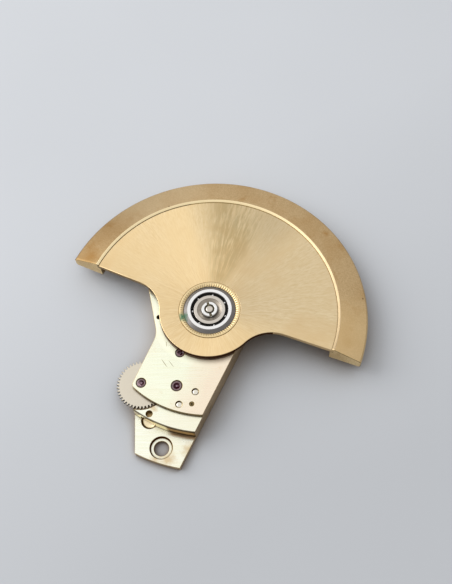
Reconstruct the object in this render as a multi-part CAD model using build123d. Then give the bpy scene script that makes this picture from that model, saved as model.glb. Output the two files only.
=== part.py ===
from build123d import *
import math
import os

# An automatic watch rotor on the self-winding bridge that carries it, in millimetres and degrees.
# The origin is on the rotor's axis, at the underside of the base plate. +Z is up, and +Y runs
# along the middle of the half-moon rotor as it lies at rest.

# Heights, from the seat of the base plate upwards
foot_thickness = 0.60
step_height = 1.10
cover_thickness = 0.33
rotor_gap = 0.24
rotor_thickness = 0.38

# Rotor plate
rotor_middle_angle = 90
rotor_half_span = 88.4
rotor_hub_radius = 4.10
rotor_hub_fillet = 3.00
plate_edge_chamfer = 0.04

# Rotor rim: a sloped top, a bright inner bevel and a lip turned over the plate's edge
rim_inner_radius = 10.20
rim_width = 2.60
rim_ledge_width = 0.26
rim_lip_reach = 0.15
rim_lip_gap = 0.02
rim_bevel_width = 0.25
rim_bevel_height = 0.10
rim_outer_height = 0.92
rim_outer_drop = 0.55
rim_top_rounding = 0.12
rim_bottom_chamfer = 0.14

# Outline of the bridge
rim_swing_clearance = 0.20
foot_end_setback = 0.20
base_head_setback = 1.90
cover_tail_radius = 8.70
cover_head_radius = 6.20
right_edge_at_foot = 2.71
right_edge_at_head = 3.79
waist_offset = 3.25
waist_upper_y = -3.35
waist_lower_y = -7.85
foot_left_offset = 0.97
flare_tip_x = -9.10
flare_tip_y = 5.13
waist_fillet = 2.00
waist_corner_fillet = 0.15
cover_edge_chamfer = 0.03

# Holes and recesses of the bridge
fixing_hole_radius = 0.60
fixing_counterbore_radius = 0.82
fixing_counterbore_depth = 0.25
foot_hole_x = 0.73
foot_hole_inset = 1.20
head_hole_x = -2.70
head_hole_inset = 1.62
blind_hole_radius = 0.27
blind_hole_depth = 0.60
blind_hole_x = -1.02
blind_hole_inset = 0.44
spot_face_radius = 0.72
spot_face_depth = 0.18
spot_face_x = -1.03
spot_face_inset = 0.26
pocket_floor = 0.45
pocket_clearance = 0.11
gear_pocket_floor = 0.92
cover_bore_clearance = 0.13
pinion_pocket_radius = 0.75
oil_hole_radius = 0.14

# Axes of the train
reverser_x = -0.82
reverser_y = -4.12
intermediate_x = 0.09
intermediate_y = -6.76
winding_x = -2.62
winding_y = -7.59

# Teeth
rotor_gear_teeth = 53
reverser_teeth = 43
intermediate_teeth = 21
winding_teeth = 44
winding_pinion_teeth = 10
winding_pinion_module = 0.09
pressure_angle = 20
addendum_share = 1.0
dedendum_share = 1.25
tooth_width_share = 0.90
flank_shares = (0.0, 0.45, 1.0)

# Levels and widths of the wheels
rotor_gear_low = 1.07
rotor_gear_width = 0.24
input_wheel_low = 1.08
input_wheel_thickness = 0.20
output_wheel_low = 0.70
output_wheel_thickness = 0.18
ratchet_thickness = 0.18
pawl_clearance = 0.02
lower_pinion_low = 0.64
lower_pinion_width = 0.30
upper_pinion_width = 0.24
upper_pinion_headroom = 0.05
winding_wheel_thickness = 0.18
winding_wheel_headroom = 0.08
winding_pinion_low = 0.60
winding_pinion_headroom = 0.02

# Arbors and jewels
arbor_radius = 0.20
pivot_radius = 0.08
pivot_clearance = 0.02
pivot_recess = 0.04
end_shake = 0.03
jewel_thickness = 0.24
jewel_sink = 0.03
reverser_jewel_radius = 0.38
intermediate_jewel_radius = 0.45
winding_jewel_radius = 0.40
oil_sink_share = 0.58
oil_sink_depth = 0.10

# One-way clutch of the reverser
ratchet_teeth = 12
ratchet_tip_radius = 0.80
ratchet_root_radius = 0.62
pawl_pivot_reach = 1.30
pawl_pivot_radius = 0.20
pawl_tip_radius = 0.06
pawl_tip_gap = 0.03
pawl_sweep_angle = 32
pawl_pin_radius = 0.08
pawl_count = 2
running_clearance = 0.03

# Ball bearing, from the inner race outwards
cone_outer_radius = 1.28
cone_height = 0.36
cone_lower_height = 0.40
cone_flat_width = 0.30
cone_dish_depth = 0.12
race_gap = 0.22
ball_count = 7
ball_radius = 0.24
ball_height = 2.30
ball_clearance = 0.02
cage_clearance = 0.025
cage_depth = 0.34
cage_rise = 0.02
ring_wall = 0.63
ring_rise = 0.09
ring_chamfer_width = 0.27
ring_chamfer_height = 0.13
ring_spigot_wall = 0.36
ring_shoulder_height = 2.00
ring_low = 1.55
gear_bore_step = 0.12
bush_wall = 0.38
bush_flange_width = 0.44
bush_flange_gap = 0.07
bush_rise = 0.03
bush_serrations = 72
bush_serration_depth = 0.05

# Centre post and its slotted nut
post_thread_radius = 0.29
post_spigot_radius = 0.45
post_column_radius = 0.85
post_flange_radius = 1.10
post_flange_height = 0.23
post_stem_radius = 0.60
post_stem_low = 0.20
post_top_rise = 0.11
nut_radius = 0.66
nut_height = 0.24
nut_recess_radius = 0.42
nut_recess_depth = 0.12
nut_edge_chamfer = 0.05
nut_slot_width = 0.18
nut_slot_depth = 0.13
nut_slot_angle = 125.4

# Screws and pins between base plate and cover
tail_screw_places = ((1.65, -6.66), (0.89, -8.08))
head_screw_x = 1.60
head_screw_inset = 1.30
screw_thread_radius = 0.27
screw_clearance = 0.04
screw_head_radius = 0.50
screw_head_height = 0.24
screw_head_sink = 0.03
screw_head_clearance = 0.03
screw_end_depth = 0.08
screw_slot_width = 0.14
screw_slot_depth = 0.10
front_pin_x = 1.80
front_pin_y = -7.68
front_pin_depth = 0.02
hub_pin_x = -3.74
hub_pin_y = -1.91
hub_pin_depth = 0.16
pin_radius = 0.18
pin_low = 0.30

# Values that follow from the sizes above
overrun = foot_thickness
base_top = foot_thickness + step_height
cover_top = base_top + cover_thickness
rotor_low = cover_top + rotor_gap
rotor_top = rotor_low + rotor_thickness
rim_outer_radius = rim_inner_radius + rim_width
rotor_edge_radius = rim_inner_radius + rim_ledge_width
rotor_end_angle = rotor_middle_angle - rotor_half_span
step_radius = rim_inner_radius - rim_swing_clearance
foot_end_radius = rim_outer_radius - foot_end_setback
base_head_radius = rim_inner_radius - base_head_setback
foot_hole_y = foot_hole_inset - foot_end_radius
head_hole_y = base_head_radius - head_hole_inset
blind_hole_y = blind_hole_inset - step_radius
spot_face_y = spot_face_inset - step_radius
screw_places = tail_screw_places + ((head_screw_x, cover_head_radius - head_screw_inset),)
ring_inner_radius = cone_outer_radius + race_gap
ring_outer_radius = ring_inner_radius + ring_wall
ring_spigot_radius = ring_inner_radius + ring_spigot_wall
gear_inner_radius = ring_inner_radius + gear_bore_step
ball_pitch_radius = cone_outer_radius + race_gap / 2
bush_outer_radius = ring_outer_radius + bush_wall
bush_flange_radius = bush_outer_radius + bush_flange_width
cone_top = ball_height + cone_height
cone_low = ball_height - cone_lower_height
nut_low = cone_top - cone_dish_depth
post_top = cone_top + post_top_rise
jewel_high = cover_top - jewel_sink
jewel_low = pocket_floor - jewel_sink - jewel_thickness
arbor_low = pocket_floor - jewel_sink + end_shake
arbor_high = jewel_high - jewel_thickness - end_shake
pinion_top = base_top - upper_pinion_headroom
winding_wheel_top = base_top - winding_wheel_headroom
winding_wheel_low = winding_wheel_top - winding_wheel_thickness
ratchet_low = output_wheel_low + output_wheel_thickness


def axis_module(x, y, other_x, other_y, teeth, other_teeth):
    """Module of a pair of wheels from the distance between their axes."""
    return 2 * math.hypot(other_x - x, other_y - y) / (teeth + other_teeth)


rotor_gear_module = axis_module(0, 0, reverser_x, reverser_y, rotor_gear_teeth, reverser_teeth)
output_module = axis_module(
    reverser_x, reverser_y, intermediate_x, intermediate_y, reverser_teeth, intermediate_teeth
)
winding_module = axis_module(
    intermediate_x, intermediate_y, winding_x, winding_y, intermediate_teeth, winding_teeth
)


def tip_radius(teeth, module):
    """Radius over the teeth of a wheel."""
    return module * (teeth / 2 + addendum_share)


def polar(radius, angle):
    """A point in the plane from its radius and its angle in degrees."""
    return radius * math.cos(math.radians(angle)), radius * math.sin(math.radians(angle))


def disc(radius, low, high, x=0, y=0):
    """A cylinder between two heights."""
    return Pos(x, y, low) * Cylinder(radius, high - low, align=(Align.CENTER, Align.CENTER, Align.MIN))


def tube(outer, inner, low, high, x=0, y=0):
    """A hollow cylinder between two heights."""
    return disc(outer, low, high, x, y) - disc(inner, low - overrun, high + overrun, x, y)


def turned(points, start=0, sweep=360):
    """A turned body from points of radius and height."""
    section = Plane.XZ * make_face(Polyline(*points, close=True))
    return Rot(0, 0, start) * revolve(section, Axis.Z, sweep)


def mesh_phase(teeth, phase, line_angle, other_teeth):
    """Phase of the wheel at the far end of a line of centres, so that its gap meets a tooth."""
    ahead = (line_angle - phase) * teeth / 360
    return line_angle + 180 - (0.5 - ahead) * 360 / other_teeth


def line_angle(x, y, other_x, other_y):
    """Angle of the line from one axis to another."""
    return math.degrees(math.atan2(other_y - y, other_x - x))


def gear(teeth, module, low, high, bore, phase):
    """A spur wheel with involute teeth, centred on the Z axis, with a tooth at the phase angle."""
    pitch_radius = module * teeth / 2
    base_radius = pitch_radius * math.cos(math.radians(pressure_angle))
    root_radius = pitch_radius - module * dedendum_share
    top_radius = tip_radius(teeth, module)
    foot_radius = max(base_radius, root_radius)

    def involute(radius):
        angle = math.acos(min(base_radius / radius, 1))
        return math.degrees(math.tan(angle) - angle)

    half_tooth = 90 / teeth * tooth_width_share + involute(pitch_radius)
    flank = [(foot_radius + (top_radius - foot_radius) * share) for share in flank_shares]
    flank = [(radius, half_tooth - involute(radius)) for radius in flank]
    if root_radius < base_radius:
        flank.insert(0, (root_radius, flank[0][1]))
    points = []
    for tooth in range(teeth):
        middle = phase + 360 * tooth / teeth
        points += [polar(radius, middle - half) for radius, half in flank]
        points += [polar(radius, middle + half) for radius, half in reversed(flank)]
    blank = extrude(Pos(0, 0, low) * make_face(Polyline(*points, close=True)), high - low)
    return blank - disc(bore, low - overrun, high + overrun)


# Rotor

def make_rotor_plate():
    """Half-moon plate: radial ends run through fillets into the round hub."""
    fillet_reach = rotor_hub_radius + rotor_hub_fillet
    line_reach = math.sqrt(fillet_reach**2 - rotor_hub_fillet**2)
    fillet_angle = rotor_end_angle - math.degrees(math.asin(rotor_hub_fillet / fillet_reach))
    centre = Vector(*polar(fillet_reach, fillet_angle))
    hub_point = Vector(*polar(rotor_hub_radius, fillet_angle))
    line_point = Vector(*polar(line_reach, rotor_end_angle))
    middle = (hub_point - centre).normalized() + (line_point - centre).normalized()
    fillet_point = centre + middle.normalized() * rotor_hub_fillet

    def mirrored(point):
        return Vector(-point.X, point.Y)

    end_point = Vector(*polar(rotor_edge_radius, rotor_end_angle))
    outline = [
        Line(end_point, line_point),
        ThreePointArc(line_point, fillet_point, hub_point),
        ThreePointArc(hub_point, Vector(0, -rotor_hub_radius), mirrored(hub_point)),
        ThreePointArc(mirrored(hub_point), mirrored(fillet_point), mirrored(line_point)),
        Line(mirrored(line_point), mirrored(end_point)),
        ThreePointArc(mirrored(end_point), Vector(0, rotor_edge_radius), end_point),
    ]
    face = make_face(outline)
    plate = extrude(Pos(0, 0, rotor_low) * face, rotor_thickness)
    plate -= disc(bush_outer_radius, rotor_low - overrun, rotor_top + overrun)
    inside = rotor_edge_radius - plate_edge_chamfer
    edges = [
        edge
        for edge in plate.faces().sort_by(Axis.Z)[-1].outer_wire().edges()
        if Vector(*(edge @ 0.5)).length < math.hypot(inside, rotor_top)
    ]
    return chamfer(edges, plate_edge_chamfer)


def make_rotor_rim():
    """Heavy rim: the plate's edge sits on a ledge and a lip is turned over it."""
    outer_top = rotor_top - rim_outer_drop
    low = outer_top - rim_outer_height
    lip_low = rotor_top + rim_lip_gap
    lip_radius = rotor_edge_radius - rim_lip_reach
    crest_radius = lip_radius + rim_bevel_width
    points = [
        (rim_inner_radius, low),
        (rim_outer_radius - rim_bottom_chamfer, low),
        (rim_outer_radius, low + rim_bottom_chamfer),
        (rim_outer_radius, outer_top - rim_top_rounding),
        (rim_outer_radius - rim_top_rounding, outer_top),
        (crest_radius, lip_low + rim_bevel_height),
        (lip_radius, lip_low),
        (rotor_edge_radius, lip_low),
        (rotor_edge_radius, rotor_low),
        (rim_inner_radius, rotor_low),
    ]
    return turned(points, rotor_end_angle, 2 * rotor_half_span)


def make_rotor_bush():
    """Hub bush that joins the plate to the bearing, with a serrated inner edge."""
    flange_low = cover_top + bush_flange_gap
    points = [
        (ring_outer_radius, flange_low),
        (bush_flange_radius, flange_low),
        (bush_flange_radius, rotor_low),
        (bush_outer_radius, rotor_low),
        (bush_outer_radius, rotor_top),
        (bush_outer_radius - bush_rise, rotor_top + bush_rise),
        (ring_outer_radius, rotor_top + bush_rise),
    ]
    bush = turned(points)
    notch_low = rotor_top + bush_rise - bush_serration_depth
    notch_high = rotor_top + bush_rise + overrun
    notch_radius = math.pi * ring_outer_radius / bush_serrations / 2
    notches = [
        disc(notch_radius, notch_low, notch_high, *polar(ring_outer_radius, 360 * place / bush_serrations))
        for place in range(bush_serrations)
    ]
    return bush - notches


def make_rotor_gear():
    """Toothed ring pressed on the lower end of the bearing's outer ring."""
    high = rotor_gear_low + rotor_gear_width
    teeth = gear(rotor_gear_teeth, rotor_gear_module, rotor_gear_low, high, gear_inner_radius, 0)
    sleeve = tube(ring_outer_radius, gear_inner_radius, rotor_gear_low, ring_shoulder_height)
    return (teeth + sleeve) - disc(ring_spigot_radius, ring_low, ring_shoulder_height + overrun)


# Ball bearing

groove_reach = (ball_radius + ball_clearance) * math.sqrt(2)


def make_outer_ring():
    """Outer ring with a V groove, a top chamfer and a spigot for the gear."""
    top = rotor_top + ring_rise
    groove_bottom = ball_pitch_radius + groove_reach
    half_groove = groove_bottom - ring_inner_radius
    points = [
        (ring_inner_radius, ring_low),
        (ring_spigot_radius, ring_low),
        (ring_spigot_radius, ring_shoulder_height),
        (ring_outer_radius, ring_shoulder_height),
        (ring_outer_radius, top - ring_chamfer_height),
        (ring_outer_radius - ring_chamfer_width, top),
        (ring_inner_radius, top),
        (ring_inner_radius, ball_height + half_groove),
        (groove_bottom, ball_height),
        (ring_inner_radius, ball_height - half_groove),
    ]
    return turned(points)


def make_lower_cone():
    """Lower inner race, seated on the shoulder of the post."""
    groove_bottom = ball_pitch_radius - groove_reach
    points = [
        (post_spigot_radius, cone_low),
        (cone_outer_radius, cone_low),
        (cone_outer_radius, ball_height - (cone_outer_radius - groove_bottom)),
        (groove_bottom, ball_height),
        (post_spigot_radius, ball_height),
    ]
    return turned(points)


def make_upper_cone():
    """Upper inner race with a dished top, clamped by the nut."""
    groove_bottom = ball_pitch_radius - groove_reach
    points = [
        (post_spigot_radius, ball_height),
        (groove_bottom, ball_height),
        (cone_outer_radius, ball_height + (cone_outer_radius - groove_bottom)),
        (cone_outer_radius, cone_top),
        (cone_outer_radius - cone_flat_width, cone_top),
        (nut_radius, nut_low),
        (post_spigot_radius, nut_low),
    ]
    return turned(points)


def ball_centres():
    """Places of the balls on their pitch circle."""
    return [polar(ball_pitch_radius, 360 * ball / ball_count) for ball in range(ball_count)]


def make_balls():
    """Seven balls, as separate solids."""
    return Compound([Pos(x, y, ball_height) * Sphere(ball_radius) for x, y in ball_centres()])


def make_cage():
    """Crown cage: a ring below the balls with open pockets."""
    inner = cone_outer_radius + cage_clearance
    outer = ring_inner_radius - cage_clearance
    ring = tube(outer, inner, ball_height - cage_depth, ball_height + cage_rise)
    pockets = [Pos(x, y, ball_height) * Sphere(ball_radius + ball_clearance) for x, y in ball_centres()]
    return ring - pockets


def make_centre_post():
    """Post pressed into the base plate; it carries the cones and the nut."""
    flange_top = gear_pocket_floor + post_flange_height
    points = [
        (0, post_stem_low),
        (post_stem_radius, post_stem_low),
        (post_stem_radius, gear_pocket_floor),
        (post_flange_radius, gear_pocket_floor),
        (post_flange_radius, flange_top),
        (post_column_radius, flange_top),
        (post_column_radius, cone_low),
        (post_spigot_radius, cone_low),
        (post_spigot_radius, nut_low),
        (post_thread_radius, nut_low),
        (post_thread_radius, post_top),
        (0, post_top),
    ]
    return turned(points)


def make_ring_nut():
    """Round nut with two slots and a recess around the post."""
    top = nut_low + nut_height
    points = [
        (post_thread_radius, nut_low),
        (nut_radius, nut_low),
        (nut_radius, top - nut_edge_chamfer),
        (nut_radius - nut_edge_chamfer, top),
        (nut_recess_radius, top),
        (post_thread_radius, top - nut_recess_depth),
    ]
    slot = Box(2 * nut_radius + overrun, nut_slot_width, 2 * nut_slot_depth)
    return turned(points) - Pos(0, 0, top) * Rot(0, 0, nut_slot_angle) * slot


# Bridge

def bridge_slab(low, high, tail_radius, head_radius):
    """Slab with the bridge's outline, ended by one arc at its tail and another at its head."""
    points = [
        (right_edge_at_foot, -foot_end_radius),
        (right_edge_at_head, base_head_radius),
        (flare_tip_x, base_head_radius),
        (flare_tip_x, flare_tip_y),
        (-waist_offset, waist_upper_y),
        (-waist_offset, waist_lower_y),
        (-foot_left_offset, -foot_end_radius),
    ]
    radii = [0, 0, 0, 0, waist_fillet, waist_corner_fillet, 0]
    face = make_face(FilletPolyline(*points, radius=radii, close=True))
    slab = extrude(Pos(0, 0, low) * face, high - low) & disc(tail_radius, low, high)
    wide = 2 * foot_end_radius
    front = Pos(0, foot_end_radius, low) * Box(
        wide, wide, 2 * (high - low), align=(Align.CENTER, Align.CENTER, Align.CENTER)
    )
    return slab - (front - disc(head_radius, low - high, high + overrun))


def fixing_hole(x, y, top):
    """Screw hole with a counterbore, down from the given height."""
    through = disc(fixing_hole_radius, -overrun, top + overrun, x, y)
    return through + disc(fixing_counterbore_radius, top - fixing_counterbore_depth, top + overrun, x, y)


jewel_places = (
    (reverser_x, reverser_y, reverser_jewel_radius),
    (intermediate_x, intermediate_y, intermediate_jewel_radius),
    (winding_x, winding_y, winding_jewel_radius),
)


def make_base_plate():
    """Lower plate: pockets for the train, a stepped foot and the screw holes."""
    base = bridge_slab(0, base_top, foot_end_radius, base_head_radius)
    above_foot = tube(foot_end_radius + overrun, step_radius, foot_thickness, base_top + overrun)
    base -= above_foot
    top = base_top + overrun
    reverser_pocket = tip_radius(reverser_teeth, rotor_gear_module) + pocket_clearance
    intermediate_pocket = tip_radius(intermediate_teeth, winding_module) + pocket_clearance
    winding_pocket = tip_radius(winding_teeth, winding_module) + pocket_clearance
    gear_pocket = tip_radius(rotor_gear_teeth, rotor_gear_module) + pocket_clearance
    winding_floor = winding_wheel_low - winding_wheel_headroom
    base -= disc(gear_pocket, gear_pocket_floor, top)
    base -= disc(reverser_pocket, pocket_floor, top, reverser_x, reverser_y)
    base -= disc(intermediate_pocket, pocket_floor, top, intermediate_x, intermediate_y)
    base -= disc(winding_pocket, winding_floor, top, winding_x, winding_y)
    base -= disc(pinion_pocket_radius, pocket_floor, top, winding_x, winding_y)
    base -= disc(post_stem_radius, post_stem_low, top)
    for x, y, radius in jewel_places:
        base -= disc(radius, jewel_low, top, x, y)
        base -= disc(oil_hole_radius, -overrun, top, x, y)
    for x, y in screw_places:
        head_depth = screw_head_sink + screw_head_height
        base -= disc(screw_thread_radius + screw_clearance, -overrun, top, x, y)
        base -= disc(screw_head_radius + screw_head_clearance, -overrun, head_depth, x, y)
    base -= disc(pin_radius, pin_low, top, front_pin_x, front_pin_y)
    base -= disc(pin_radius, pin_low, top, hub_pin_x, hub_pin_y)
    base -= disc(blind_hole_radius, base_top - blind_hole_depth, top, blind_hole_x, blind_hole_y)
    base -= fixing_hole(foot_hole_x, foot_hole_y, foot_thickness)
    base -= fixing_hole(head_hole_x, head_hole_y, base_top)
    spot = disc(spot_face_radius, foot_thickness - spot_face_depth, top, spot_face_x, spot_face_y)
    return base - (spot - disc(step_radius, -overrun, top))


def make_upper_bridge():
    """Cover plate over the train, with the jewel, screw and pin holes."""
    cover = bridge_slab(base_top, cover_top, cover_tail_radius, cover_head_radius)
    cover = chamfer(cover.faces().sort_by(Axis.Z)[-1].outer_wire().edges(), cover_edge_chamfer)
    low = base_top - overrun
    top = cover_top + overrun
    gear_tip = tip_radius(rotor_gear_teeth, rotor_gear_module)
    cover -= disc(gear_tip + cover_bore_clearance, low, top)
    for x, y, radius in jewel_places:
        cover -= disc(radius, low, top, x, y)
    for x, y in screw_places:
        cover -= disc(screw_thread_radius, low, top, x, y)
    cover -= disc(pin_radius, low, top, front_pin_x, front_pin_y)
    return cover - disc(pin_radius, low, top, hub_pin_x, hub_pin_y)


def make_jewels(low, sink_on_top):
    """Ruby hole jewels of one plate, each with an oil sink around the pivot hole."""
    jewels = []
    for x, y, radius in jewel_places:
        high = low + jewel_thickness
        hole = pivot_radius + pivot_clearance
        sink_radius = radius * oil_sink_share
        if sink_on_top:
            floor, mouth = high - oil_sink_depth, high
        else:
            floor, mouth = low + oil_sink_depth, low
        points = [
            (hole, low + high - mouth),
            (radius, low + high - mouth),
            (radius, mouth),
            (sink_radius, mouth),
            (hole, floor),
        ]
        jewels.append(Pos(x, y, 0) * turned(points))
    return Compound(jewels)


def make_screws():
    """Screws from beneath: their ends show in the cover."""
    screws = []
    for x, y in screw_places:
        head_top = screw_head_sink + screw_head_height
        shank = disc(screw_thread_radius, screw_head_sink, cover_top - screw_end_depth)
        head = disc(screw_head_radius, screw_head_sink, head_top)
        slot = Box(2 * screw_head_radius + overrun, screw_slot_width, 2 * screw_slot_depth)
        slot = Pos(0, 0, screw_head_sink) * slot
        screws.append(Pos(x, y, 0) * (shank + head - slot))
    return Compound(screws)


def make_pins():
    """Steady pins that line up the cover with the base plate."""
    front = disc(pin_radius, pin_low, cover_top - front_pin_depth, front_pin_x, front_pin_y)
    hub = disc(pin_radius, pin_low, cover_top - hub_pin_depth, hub_pin_x, hub_pin_y)
    return Compound([front, hub])


# Train

def arbor(x, y):
    """Arbor with a pivot at each end, between the jewels."""
    points = [
        (0, jewel_low + pivot_recess),
        (pivot_radius, jewel_low + pivot_recess),
        (pivot_radius, arbor_low),
        (arbor_radius, arbor_low),
        (arbor_radius, arbor_high),
        (pivot_radius, arbor_high),
        (pivot_radius, jewel_high - pivot_recess),
        (0, jewel_high - pivot_recess),
    ]
    return Pos(x, y, 0) * turned(points)


input_phase = mesh_phase(rotor_gear_teeth, 0, line_angle(0, 0, reverser_x, reverser_y), reverser_teeth)
output_line = line_angle(reverser_x, reverser_y, intermediate_x, intermediate_y)
intermediate_phase = mesh_phase(reverser_teeth, 0, output_line, intermediate_teeth)
winding_line = line_angle(intermediate_x, intermediate_y, winding_x, winding_y)
winding_phase = mesh_phase(intermediate_teeth, intermediate_phase, winding_line, winding_teeth)


def pawl_places():
    """Angles of the pawls around the reverser."""
    return [360 * pawl / pawl_count for pawl in range(pawl_count)]


def make_input_wheel():
    """Upper wheel of the reverser, free on the arbor, driven by the rotor."""
    high = input_wheel_low + input_wheel_thickness
    bore = arbor_radius + running_clearance
    wheel = gear(reverser_teeth, rotor_gear_module, input_wheel_low, high, bore, input_phase)
    for angle in pawl_places():
        x, y = polar(pawl_pivot_reach, angle)
        wheel -= disc(pawl_pin_radius, input_wheel_low - overrun, high + overrun, x, y)
    return Pos(reverser_x, reverser_y, 0) * wheel


def make_pawls():
    """Two pawls riveted under the input wheel."""
    low = ratchet_low + pawl_clearance
    high = input_wheel_low - pawl_clearance
    tip_reach = ratchet_tip_radius + pawl_tip_gap + pawl_tip_radius
    tip_x, tip_y = polar(tip_reach, pawl_sweep_angle)
    hull = make_hull(
        (Pos(pawl_pivot_reach, 0) * Circle(pawl_pivot_radius)).edges()
        + (Pos(tip_x, tip_y) * Circle(pawl_tip_radius)).edges()
    )
    body = extrude(Pos(0, 0, low) * hull, high - low)
    body += disc(pawl_pin_radius, low, input_wheel_low + input_wheel_thickness, pawl_pivot_reach, 0)
    return Compound([Pos(reverser_x, reverser_y, 0) * Rot(0, 0, angle) * body for angle in pawl_places()])


def make_ratchet():
    """Ratchet with saw teeth, fixed on the output wheel."""
    points = []
    for tooth in range(ratchet_teeth):
        angle = 360 * tooth / ratchet_teeth
        points += [polar(ratchet_root_radius, angle), polar(ratchet_tip_radius, angle)]
    face = make_face(Polyline(*points, close=True))
    ratchet = extrude(Pos(0, 0, ratchet_low) * face, ratchet_thickness)
    ratchet -= disc(arbor_radius, ratchet_low - overrun, ratchet_low + ratchet_thickness + overrun)
    return Pos(reverser_x, reverser_y, 0) * ratchet


def make_output_wheel():
    """Lower wheel of the reverser, fixed to the arbor."""
    wheel = gear(reverser_teeth, output_module, output_wheel_low, ratchet_low, arbor_radius, 0)
    return Pos(reverser_x, reverser_y, 0) * wheel


def make_intermediate_pinion(module, low, high):
    """One of the two pinions on the intermediate arbor."""
    pinion = gear(intermediate_teeth, module, low, high, arbor_radius, intermediate_phase)
    return Pos(intermediate_x, intermediate_y, 0) * pinion


def make_winding_wheel():
    """Fine-toothed wheel that looks out at the left of the bridge."""
    wheel = gear(
        winding_teeth, winding_module, winding_wheel_low, winding_wheel_top, arbor_radius, winding_phase
    )
    return Pos(winding_x, winding_y, 0) * wheel


def make_winding_pinion():
    """Arbor of the winding wheel with its pinion cut in one."""
    high = winding_wheel_low - winding_pinion_headroom
    leaves = gear(
        winding_pinion_teeth, winding_pinion_module, winding_pinion_low, high, pivot_radius, 0
    )
    return arbor(winding_x, winding_y) + Pos(winding_x, winding_y, 0) * leaves


parts = {
    "rotor_plate": make_rotor_plate(),
    "rotor_rim": make_rotor_rim(),
    "rotor_bush": make_rotor_bush(),
    "rotor_gear": make_rotor_gear(),
    "bearing_outer_ring": make_outer_ring(),
    "bearing_balls": make_balls(),
    "ball_cage": make_cage(),
    "bearing_lower_cone": make_lower_cone(),
    "bearing_upper_cone": make_upper_cone(),
    "centre_post": make_centre_post(),
    "ring_nut": make_ring_nut(),
    "base_plate": make_base_plate(),
    "upper_bridge": make_upper_bridge(),
    "upper_jewels": make_jewels(jewel_high - jewel_thickness, True),
    "lower_jewels": make_jewels(jewel_low, False),
    "bridge_screws": make_screws(),
    "steady_pins": make_pins(),
    "reverser_arbor": arbor(reverser_x, reverser_y),
    "reverser_input_wheel": make_input_wheel(),
    "reverser_pawls": make_pawls(),
    "reverser_ratchet": make_ratchet(),
    "reverser_output_wheel": make_output_wheel(),
    "intermediate_arbor": arbor(intermediate_x, intermediate_y),
    "intermediate_lower_pinion": make_intermediate_pinion(
        output_module, lower_pinion_low, lower_pinion_low + lower_pinion_width
    ),
    "intermediate_upper_pinion": make_intermediate_pinion(
        winding_module, pinion_top - upper_pinion_width, pinion_top
    ),
    "winding_wheel": make_winding_wheel(),
    "winding_pinion": make_winding_pinion(),
}

os.makedirs("parts", exist_ok=True)
for node, shape in parts.items():
    export_step(shape, f"parts/{node}.step")
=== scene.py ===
# %% [markdown]
# # A watch rotor on its winding bridge
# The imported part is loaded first: every CAD node arrives in metres, in its own place, and never
# moves. The cells that follow dress it. Hidden nodes keep their mesh and get a finish. The pieces
# that the eye rests on are built again in mesh code, with eased edges that catch the light.

# %% Load the frame
import math

import bmesh
import bpy
from mathutils import Matrix, Vector


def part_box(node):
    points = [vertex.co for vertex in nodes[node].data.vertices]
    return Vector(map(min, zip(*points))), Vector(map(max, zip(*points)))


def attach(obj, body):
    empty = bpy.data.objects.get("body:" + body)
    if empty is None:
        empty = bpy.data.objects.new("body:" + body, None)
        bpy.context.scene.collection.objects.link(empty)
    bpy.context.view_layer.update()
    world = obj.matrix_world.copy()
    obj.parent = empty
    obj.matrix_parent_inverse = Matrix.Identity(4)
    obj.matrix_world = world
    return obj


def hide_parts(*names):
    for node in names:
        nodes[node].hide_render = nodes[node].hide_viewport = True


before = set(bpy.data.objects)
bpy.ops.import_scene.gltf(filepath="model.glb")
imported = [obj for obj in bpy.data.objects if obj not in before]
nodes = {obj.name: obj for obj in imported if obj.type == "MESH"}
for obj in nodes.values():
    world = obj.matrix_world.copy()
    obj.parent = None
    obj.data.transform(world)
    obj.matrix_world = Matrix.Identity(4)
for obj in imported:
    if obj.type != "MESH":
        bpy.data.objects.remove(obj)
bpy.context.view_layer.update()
MM = 0.001

# %% [markdown]
# ## Camera
# The photograph looks down on the rotor from 62 degrees above the floor, a little from the right,
# through a short telephoto lens. The camera is turned by 6 degrees about its own line of sight.

# %% Camera
LONG_SIDE_PX = 584
camera_place = Vector((15.08, -24.54, 61.47)) * MM
camera_target = Vector((-0.056, 3.501, 2.10)) * MM
camera_roll = math.radians(-6.09)
forward = (camera_target - camera_place).normalized()
level_right = forward.cross(Vector((0, 0, 1))).normalized()
level_up = level_right.cross(forward)
right = level_right * math.cos(camera_roll) + level_up * math.sin(camera_roll)
up = level_up * math.cos(camera_roll) - level_right * math.sin(camera_roll)
camera_data = bpy.data.cameras.new("camera")
camera_data.lens = 49.7
camera_data.sensor_width = 36
camera_data.shift_y = -15 / LONG_SIDE_PX
camera_data.clip_start = 1 * MM
camera_data.clip_end = 2
camera = bpy.data.objects.new("camera", camera_data)
turn = Matrix((right, up, -forward)).transposed().to_4x4()
camera.matrix_world = Matrix.Translation(camera_place) @ turn
bpy.context.scene.collection.objects.link(camera)
bpy.context.scene.camera = camera
print("camera is", round((camera_place - camera_target).length / MM, 1), "mm from its target")

# %% [markdown]
# ## Colours and nodes
# Colours are written as the hex values that a screen shows. Blender's shaders work in linear
# light, so one function turns them. A second one adds any node: it sets the node's options, fills
# its inputs, and hands back one output, so that nodes can be nested like sums. Every pattern is
# measured in the piece's own metres, and so it moves with the piece.

# %% Colours and nodes
def linear(hex_colour):
    """A hex colour as linear red, green, blue and alpha."""
    parts = [int(hex_colour[place : place + 2], 16) / 255 for place in (1, 3, 5)]
    return [c / 12.92 if c <= 0.04045 else ((c + 0.055) / 1.055) ** 2.4 for c in parts] + [1.0]


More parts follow.
